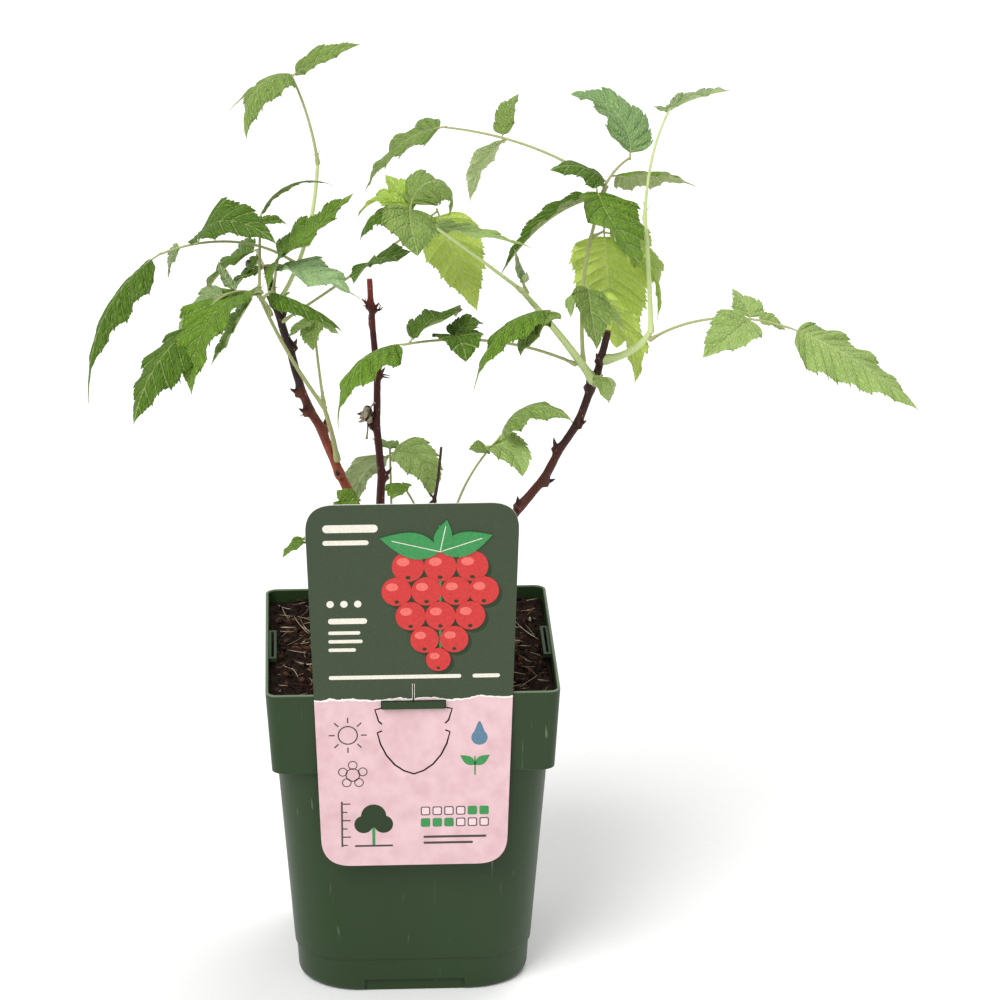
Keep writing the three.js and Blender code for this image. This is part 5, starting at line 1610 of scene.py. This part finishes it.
# ------------------------------------------------------------------ canes and shoots
@dataclass
class Cane:
    """A woody cane: fibrous bark, swollen nodes with bud scars, and the cut at its tip."""

    limb: Limb
    seed: int
    joints: Places = ()
    sides: int = 28
    pitch: float = 0.6
    kink: float = 1.15
    strip: tuple[float, ...] = (0.3, 1, 1, 0.3, 1, 1)
    scale: tuple[float, ...] = (0.22, 1, 1, 0.22, 1, 1)

    def nodes(self) -> list[tuple[float, float]]:
        """Finds where the buds and old joints stand.

        Returns:
            Share of the length and angle round the cane of each.
        """
        count = self.limb.buds
        buds = [((k + 0.35) / (count + 0.2), math.radians(144 * k + 40)) for k in range(count)]
        return [*buds, *((share, math.radians(turn)) for share, turn in self.joints)]

    def bends(self, shares: Array) -> Array:
        """Finds how far the cane swerves toward each of its buds, so that it runs from node to node.

        Args:
            shares: shares of the length.

        Returns:
            The swerve at each.
        """
        swerve = np.zeros((len(shares), 3))
        for share, angle in self.nodes():
            _, out = self.limb.line.outward(share, angle)
            swerve += self.kink * np.exp(-np.abs(shares - share) * self.limb.long / 6)[:, None] * out
        return swerve

    def radii(self, shares: Array, rng: Draw) -> Array:
        """Works out taper, fibres, ripples and the swelling at each node.

        Args:
            shares: shares of the length.
            rng: the seeded draw for the fibres and ripples.

        Returns:
            The radius of every point.
        """
        limb, round_ = self.limb, circle(self.sides)
        base = np.outer(limb.radius(shares), np.ones(self.sides))
        fibre = cell_noise(rng, (max(4, len(shares) // 14), 11), base.shape)
        ripple = cell_noise(rng, (len(shares) // 3, 5), base.shape)
        relief = base * (1 + 0.13 * fibre + 0.07 * ripple)
        for share, angle in self.nodes():
            along = (shares - share) * limb.long
            near, ledge = bell(along, 2.0)[:, None], bell(along + 1.6, 0.8)[:, None]
            facing = bell(np.angle(np.exp(1j * (round_ - angle))), 0.75)[None, :]
            relief = relief + base * (0.18 * near + 0.5 * near * facing + 0.6 * ledge * facing)
        return relief

    def bud(self, skin: Skin, share: float, angle: float, rng: Draw) -> None:
        """Adds one pointed bud on its knob, with two scales that part from it.

        Args:
            skin: the mesh.
            share: where it stands along the cane.
            angle: where it stands round the cane.
            rng: the seeded draw for its size and lean.
        """
        radius = float(self.limb.radius(share))
        ahead, out = self.limb.line.outward(share, angle)
        root = self.limb.line.at(share) + self.bends(np.array([share]))[0] + out * radius * 0.75
        t = np.linspace(0, 1, 12)
        shape = np.interp(t, (0, 0.14, 0.34, 0.5, 0.75, 1), (0.9, 1, 0.74, 0.62, 0.36, 0.04))
        for long, wide, spread in ((1.0, 1.0, 0.0), (0.66, 0.5, 0.5), (0.55, 0.45, -0.6)):
            lean = out * rng.uniform(1.0, 1.3) + ahead * 0.8 + np.cross(out, ahead) * spread
            turn = math.degrees(math.atan2(lean[1], lean[0]))
            rise = math.degrees(math.asin(lean[2] / np.linalg.norm(lean)))
            habit = Habit(turn, rise, (radius * 1.5 + rng.uniform(1.4, 2.7)) * long, 0, 24)
            skin.sprig(root, habit, radius * 0.7 * wide * shape, [1] * 10, SCALES)

    def flakes(self, skin: Skin, share: float, angle: float, rng: Draw) -> None:
        """Adds a few curled dry strips left by an old leaf stalk.

        Args:
            skin: the mesh.
            share: where they stand along the cane.
            angle: where they stand round the cane.
            rng: the seeded draw for their lie.
        """
        radius = float(self.limb.radius(share))
        for _ in range(3):
            ahead, out = self.limb.line.outward(share, angle + rng.uniform(-0.7, 0.7))
            turn = math.degrees(math.atan2(out[1], out[0])) + rng.uniform(-25, 25)
            habit = Habit(turn, *draws(rng, (-35, 30), (2.6, 5.6), (-70, 70), (-40, 190)))
            root = self.limb.line.at(share) + out * radius * 0.8 - ahead * 0.6
            skin.sprig(root, habit, 0.75 * (1 - 0.75 * np.linspace(0, 1, 7)), self.strip, DRY)

    def husk(self, skin: Skin, rng: Draw) -> None:
        """Adds the withered bud: dry scales hung beside the cane, with their thread of a stalk.

        Args:
            skin: the mesh.
            rng: the seeded draw for its scales.
        """
        side = self.limb.line.pose(HUSK_AT)[2]
        middle = self.limb.line.at(HUSK_AT) - side * 4.5
        t = np.linspace(0, 1, 8)
        scale = 1.4 * np.sin(np.pi * (0.15 + 0.8 * t))
        for k in range(22):
            turn = 360 * k / 22 + rng.uniform(-14, 14)
            start = middle + forward(turn, 0) * 0.7 + (0, 0, rng.uniform(-1.5, 5.0))
            habit = Habit(turn, *draws(rng, (-88, -58), (4.0, 6.6), (-50, 50), (-50, 90)))
            skin.sprig(start, habit, scale, self.scale, HUSK if k % 3 else DRY)
        thread = np.interp(t, (0, 0.6, 1), (0.5, 0.36, 0.6))
        skin.sprig(middle + (0, 0, 2.6), Habit(0, 50, 5.0), thread, [1] * 6, HUSK)
        skin.sprig(middle - (0, 0, 2.6), Habit(250, -86, 8.0, 0, 24), thread, [1] * 6, HUSK)

    def build(self) -> None:
        """Makes the cane with its buds and scars."""
        limb = self.limb
        rng = np.random.default_rng(self.seed)
        shares = np.linspace(-2.5 / limb.long, 1, int(limb.long / self.pitch))
        radii = self.radii(shares, rng)
        radii[-2:] *= 0.93
        skin = Skin()
        skin.form(limb.line.rings(shares, radii) + self.bends(shares)[:, None], BARK)
        skin.slots[-1] = CUT
        for number, (share, angle) in enumerate(self.nodes()):
            self.bud(skin, share, angle, rng)
            if number % 3 == 2 or number >= limb.buds:
                self.flakes(skin, share, angle, rng)
        if limb.name == "cane_middle":
            self.husk(skin, rng)
        finishes = [BARKS[limb.name], BUD_SCALE, DRY_LEAF, CUT_WOOD, HUSK_LEAF]
        settle(skin.piece(limb.name + "_bark", finishes, 70), "bark", limb.name)


def bristles(skin: Skin, limb: Limb, rng: Draw, each: float, slot: int = 0) -> None:
    """Adds fine bristles to a stem.

    Args:
        skin: the mesh.
        limb: what they stand on.
        rng: the seeded draw for their places.
        each: bristles in each millimetre.
        slot: finish slot.
    """
    for _ in range(int(limb.long * each)):
        share, angle = rng.uniform(0.03, 0.97), rng.uniform(0, math.tau)
        ahead, out = limb.line.outward(share, angle)
        base = limb.line.at(share) + out * float(limb.radius(share)) * 0.85
        across = np.cross(out, ahead)
        root = [base + (ahead * math.cos(a) + across * math.sin(a)) * 0.07 for a in (0, 2.1, 4.2)]
        tip = base + out * BRISTLE * rng.uniform(0.6, 1.1) - ahead * 0.15
        skin.add(np.array([*root, tip]), [(0, 2, 1), (0, 1, 3), (1, 2, 3), (2, 0, 3)], slot)


@dataclass
class Shoots:
    """This year's green shoots: ribbed, swollen at their joints and set with fine bristles."""

    limbs: list[Limb]
    seed: int = 23
    sides: int = 14
    pitch: float = 1.0
    ribs: int = 5

    def stem(self, skin: Skin, limb: Limb, rng: Draw, slot: int) -> None:
        """Adds one tapering stem, sunk a little into what bears it.

        Args:
            skin: the mesh.
            limb: the shoot.
            rng: the seeded draw for its ripples.
            slot: finish slot.
        """
        sunk = (limb.thick[0] * 0.6 + 0.8) / limb.long
        shares = np.linspace(-sunk, 1 + 0.4 / limb.long, max(6, int(limb.long / self.pitch)))
        inside = np.clip(shares, 0, 1)
        base = np.outer(limb.radius(inside), np.ones(self.sides))
        flare = 0.35 * bell(inside * limb.long, 2.2)[:, None]
        ripple = cell_noise(rng, (max(3, len(shares) // 3), 5), base.shape)
        ribs = 0.035 * np.cos(self.ribs * circle(self.sides))[None, :]
        skin.form(limb.line.rings(shares, base * (1 + ribs + flare + 0.07 * ripple)), slot)

    def build(self) -> None:
        """Makes the shoots and lets them stand for their nodes."""
        rng = np.random.default_rng(self.seed)
        skin = Skin()
        for limb in self.limbs:
            slot = int(limb.name in PALE_LIMBS)
            self.stem(skin, limb, rng, slot)
            bristles(skin, limb, rng, 2.0, slot)
        piece = skin.piece("green_shoots", [STEM, PALE_STEM], 60)
        settle(piece, "green_stem", *(limb.name for limb in self.limbs))


# ------------------------------------------------------------------ leaves
@dataclass
class Blade:
    """One leaflet's blade: a thin toothed lamina, pleated between its side veins."""

    leaflet: Leaflet
    line: Growth
    thick: float = 0.34
    columns: tuple[float, ...] = (0.0, 0.035, 0.14, 0.29, 0.46, 0.63, 0.79, 0.91, 1.0)
    teeth: Places = (  # place between two side veins, and height
        (0.0, 0.0), (0.15, 0.32), (0.29, 0.62), (0.34, 0.22), (0.48, 0.5), (0.61, 0.85), (0.66, 0.4),
        (0.81, 0.8), (0.96, 1.25),
    )

    def half_width(self, share: Array) -> Array:
        """Works out the outline: fullest at a third, and drawn out at the tip, or into a thread.

        Args:
            share: shares of the midrib.

        Returns:
            The half width at each.
        """
        blade = self.leaflet
        drawn = float(np.interp(blade.long, (28, 60), (1.0, 1.2))) - blade.blunt
        peak = 0.38 / (0.38 + drawn)
        body = np.minimum(share / (1 - blade.tail), 1)
        full = (body / peak) ** 0.38 * ((1 - body) / (1 - peak)) ** drawn
        floor = 0.12 + 0.25 * (share < 0.3) + (1.2 + 1.6 * (blade.tail > 0)) * (1 - share) * (share > 0.6)
        return np.maximum(0.97 * full * blade.wide / 2, floor)

    def build(self, skin: Skin, rng: Draw, slots: tuple[int, int]) -> None:
        """Adds the blade to a mesh.

        Args:
            skin: the mesh.
            rng: the seeded draw for its waves and curl.
            slots: finish slots of its upper face and its underside.
        """
        blade = self.leaflet
        pairs = int(np.clip(round(blade.long / 5.8), 4, 12))
        places, heights = np.array(self.teeth).T
        phase = np.concatenate([k + places for k in range(pairs)] + [[pairs]])
        share = phase / pairs
        wide = self.half_width(share)
        phase, share, wide = phase[:, None], share[:, None], wide[:, None]
        inner = share ** float(np.interp(blade.wide / blade.long, (0.3, 0.8), (1.55, 1.9)))
        draw = np.repeat(rng.uniform(0.75, 1.25, pairs + 1), len(places))[:len(phase)]
        tooth = ((0.36 + 0.038 * blade.wide) * np.append(np.tile(heights, pairs), 0) * draw)[:, None]
        tooth = tooth * np.clip((wide - 0.5) / (0.3 * blade.wide), 0, 1)

        half_row = np.array(self.columns)
        across = np.concatenate([-half_row[:0:-1], half_row])[None, :]
        v, side_of = np.abs(across), np.sign(across)
        edge = (v >= 1).astype(float)
        out = v * wide + edge * tooth
        along = inner + (share - inner) * v**1.15
        along = BLADE_STALK + (1 - BLADE_STALK) * along + 0.75 * edge * tooth / blade.long
        along = np.minimum(along, 1)
        twist = blade.roll + rng.uniform(-7, 7) * (share - 0.3) + blade.wring * share

        fold, curl = math.radians(blade.fold), rng.uniform(0.05, 0.2) + blade.sag
        ridge = np.abs(np.sin(np.pi * phase)) ** 0.65
        pleat = 0.24 * (blade.long / pairs) * ridge * v**0.5 * (1 - 0.45 * v) * np.clip(wide / 4, 0, 1)
        wave = 0.055 * blade.wide * v**2 * np.sin(2.3 * phase + rng.uniform(0, 6))
        wave = wave * np.clip(wide / (0.3 * blade.wide), 0, 1)
        tall = out * math.sin(fold) - curl * v**2.2 * wide + pleat + wave
        tall += 0.05 * np.sin(1.7 * phase) * side_of * v * wide
        flat = side_of * out * math.cos(fold)
        _, top, side = self.line.pose(along, twist * np.ones_like(along))
        upper = self.line.at(along) + side * flat[..., None] + top * tall[..., None]
        rib = bell(np.abs((phase + 0.5) % 1 - 0.5), 0.08) * (1 - 0.7 * v) * (v > 0)
        deep = self.thick + 0.22 * rib + 0.5 * (v < 0.02) * np.clip(1.2 - share, 0.3, 1)
        lower = upper - top * (deep * np.clip(wide / 1.5, 0.35, 1))[..., None]

        cell = np.arange(out.size).reshape(out.shape)
        a, b, c, d = cell[:-1, :-1], cell[1:, :-1], cell[1:, 1:], cell[:-1, 1:]
        faces = np.stack([a, d, c, b], axis=-1).reshape(-1, 4)
        rim = np.concatenate([cell[0, :-1], cell[:-1, -1], cell[-1, :0:-1], cell[:0:-1, 0]])
        ahead = np.roll(rim, -1)
        sides = np.stack([rim, rim + out.size, ahead + out.size, ahead], axis=-1)
        notes = {"rib": np.tile(np.repeat(phase, out.shape[1]), 2), "out": np.tile(out.ravel(), 2)}
        start = skin.count
        skin.add(np.vstack([*upper, *lower]), faces, slots[0], **notes)
        skin.cover(faces[:, ::-1] + out.size, slots[1], start)
        skin.cover(sides, slots[0], start)


@dataclass
class Foliage:
    """A mass of leaves: its blades in one mesh, its stalks and stipules in another."""

    name: str
    leaves: list[Leaf]
    seed: int
    stalk_sides: int = 10
    stipule: tuple[float, ...] = (0.5, 1, 1, 0.5, 1, 1)
    long_stalk: float = 20.0

    @staticmethod
    def finishes() -> list[Finish]:
        """Makes the upper and under finish of every tone, in order.

        Returns:
            The finishes.
        """
        faces: list[Finish] = []
        for tone in Tone:
            shade, name = tone.value, tone.name.lower()
            felt, vein = (0.0, "#d5e39a") if tone is Tone.BACKLIT else (0.14, "#cdd9a6")
            looks = (shade.upper, shade.vein, shade.clear, 0.5 + 0.5 * shade.valley_shade, 0, shade.valley_shade)
            faces.append(LeafFace("leaf_" + name, 0.46, 1.42, 0.3, *looks))
            looks = (shade.under, vein, 0.5, 0.4, felt, 0.12)
            faces.append(LeafFace("leaf_under_" + name, 0.7, 1.42, 0.2, *looks))
        return faces

    def stalk(self, skin: Skin, leaf: Leaf) -> None:
        """Adds a leaf's grooved stalk, thicker where it is sunk in its limb.

        Args:
            skin: the mesh.
            leaf: the leaf.
        """
        shares = np.linspace(-1.6 / leaf.long, 1, max(5, int(leaf.long / 1.6)))
        inside = np.clip(shares, 0, 1)
        base = leaf.radius(inside) * (1 + 0.6 * bell(inside * leaf.long, 2.2))
        groove = 1 - 0.16 * bell(np.angle(np.exp(1j * circle(self.stalk_sides))), 0.6)
        skin.form(leaf.line.rings(shares, base, groove), int(leaf.name in PALE_LIMBS))

    def stipules(self, skin: Skin, leaf: Leaf, rng: Draw) -> None:
        """Adds the two thread-like stipules at the foot of a stalk.

        Args:
            skin: the mesh.
            leaf: the leaf.
            rng: the seeded draw for their lie.
        """
        shape = 0.32 * (1 - 0.85 * np.linspace(0, 1, 6))
        for side in (-1, 1):
            habit = Habit(leaf.turn + side * rng.uniform(35, 70), leaf.rise * 0.5 + rng.uniform(0, 30),
                          rng.uniform(3.5, 6), 0, rng.uniform(-40, 10))
            skin.sprig(leaf.line.at(0.03), habit, shape, self.stipule)

    @staticmethod
    def leaflet_stalk(skin: Skin, blade: Leaflet, line: Growth) -> None:
        """Adds the short stalk that carries a blade, along its midrib's line."""
        radii = np.linspace(0.5, 0.3, 6) * (1 if blade.long > 24 else 0.8)
        skin.form(line.rings(np.linspace(0, BLADE_STALK + 0.05, 6), radii, [1] * 8))

    def build(self) -> None:
        """Makes the blades and the stalks."""
        rng = np.random.default_rng(self.seed)
        blades, stalks, tones = Skin(), Skin(), list(Tone)
        for leaf in self.leaves:
            self.stalk(stalks, leaf)
            bristles(stalks, leaf, rng, 1.0)
            if leaf.on and leaf.long > self.long_stalk:
                self.stipules(stalks, leaf, rng)
            for blade in leaf.leaflets:
                ahead, top = forward(blade.turn, blade.rise), forward(blade.turn, blade.rise + 90)
                sunk = -1.2 if blade.at == 1 else -0.2
                line = Growth(leaf.line.at(blade.at) + ahead * sunk + top * 0.1, blade)
                self.leaflet_stalk(stalks, blade, line)
                slot = 2 * tones.index(blade.tone or leaf.tone)
                Blade(blade, line).build(blades, rng, (slot, slot + 1))
        names = [leaf.name for leaf in self.leaves]
        settle(blades.piece(self.name + "_blades", self.finishes(), 75), "foliage", *names)
        settle(stalks.piece(self.name + "_stalks", [STEM, PALE_STEM], 60), "green_stem")


# ------------------------------------------------------------------ studio
@dataclass
class Studio:
    """Camera, soft lamps and the white paper the plant stands on."""

    azimuth: float = -2.6
    elevation: float = 20.2
    away: float = 2.097
    aim_right: float = 0.041
    aim_height: float = 0.2176
    lens: float = 168.8
    sensor: float = 36.0
    clip_end: float = 50.0
    lamp_away: float = 3.0
    air: float = 0.5
    paper_half: float = 6000.0

    def camera(self) -> None:
        """Sets the camera on its line of sight."""
        a, e = math.radians(self.azimuth), math.radians(self.elevation)
        back = Vector((math.sin(a) * math.cos(e), -math.cos(a) * math.cos(e), math.sin(e)))
        aim = Vector((math.cos(a), math.sin(a), 0)) * self.aim_right + Vector((0, 0, self.aim_height))
        data = bpy.data.cameras.new("camera")
        data.lens, data.sensor_width, data.clip_end = self.lens, self.sensor, self.clip_end
        camera = bpy.data.objects.new("camera", data)
        camera.location = aim + back * self.away
        camera.rotation_euler = back.to_track_quat("Z", "Y").to_euler()
        bpy.context.scene.collection.objects.link(camera)
        bpy.context.scene.camera = camera

    def lamp(self, name: str, way: Sequence[float], softness: float, strength: float) -> None:
        """Adds one broad far lamp, even over the whole set.

        Args:
            name: the lamp's name.
            way: direction from the plant to the lamp.
            softness: how wide it looks from the plant, in degrees.
            strength: light on a surface that faces it.
        """
        data = bpy.data.lights.new(name, "SUN")
        data.angle = math.radians(softness)
        data.energy = strength
        lamp = bpy.data.objects.new(name, data)
        lamp.location = Vector(way).normalized() * self.lamp_away
        lamp.rotation_euler = Vector(way).to_track_quat("Z", "Y").to_euler()
        bpy.context.scene.collection.objects.link(lamp)

    def build(self) -> None:
        """Makes the whole set."""
        self.camera()
        bpy.context.scene.view_settings.view_transform = "Standard"
        self.lamp("key_lamp", (-0.9, -1.3, 1.7), 36, 2.3)
        self.lamp("back_lamp", (0.8, 1.2, 1.9), 40, 1.1)
        world = bpy.data.worlds.new("studio_air")
        world.use_nodes = True
        colour, strength = world.node_tree.nodes["Background"].inputs[:2]
        colour.default_value = (1, 1, 1, 1)
        strength.default_value = self.air
        bpy.context.scene.world = world
        half = self.paper_half
        corners = np.array([(-half, -half, 0), (half, -half, 0), (half, half, 0), (-half, half, 0)])
        skin = Skin().form([corners - (0, 0, 5), corners - (0, 0, 0.02)])
        skin.piece("studio_paper", [StudioPaper("seamless_paper", 0.9, 1.5)])


def masses() -> dict[str, list[Leaf]]:
    """Groups the grown leaves by where they end, seen from the front.

    Returns:
        The leaves of each mass, by its name.
    """
    groups: dict[str, list[Leaf]] = {"left": [], "crown": [], "right": [], "low": []}
    for leaf in LEAVES:
        x, z = leaf.line.at(1.0)[[0, 2]]
        side = "left" if x < -CROWN_HALF else "right" if x > CROWN_HALF else "crown"
        groups["low" if z < CROWN_FOOT_Z else side].append(leaf)
    return groups


def main() -> None:
    """Builds the set, the pot, its filling and label, then the plant from the foot up."""
    logging.basicConfig(level=logging.INFO, format="%(message)s")
    Studio().build()
    pot = Pot()
    pot.build()
    Compost().build(pot)
    PlantLabel().build()
    grown: dict[str, Limb] = {}
    for limb in [*CANES, *SHOOTS, *LEAVES]:
        limb.grow(grown)
    for number, limb in enumerate(CANES):
        Cane(limb, 31 + number, OLD_JOINTS.get(limb.name, ())).build()
    Shoots(SHOOTS).build()
    for number, (spot, leaves) in enumerate(masses().items()):
        Foliage("foliage_" + spot, leaves, 71 + number).build()


if __name__ == "__main__":
    main()
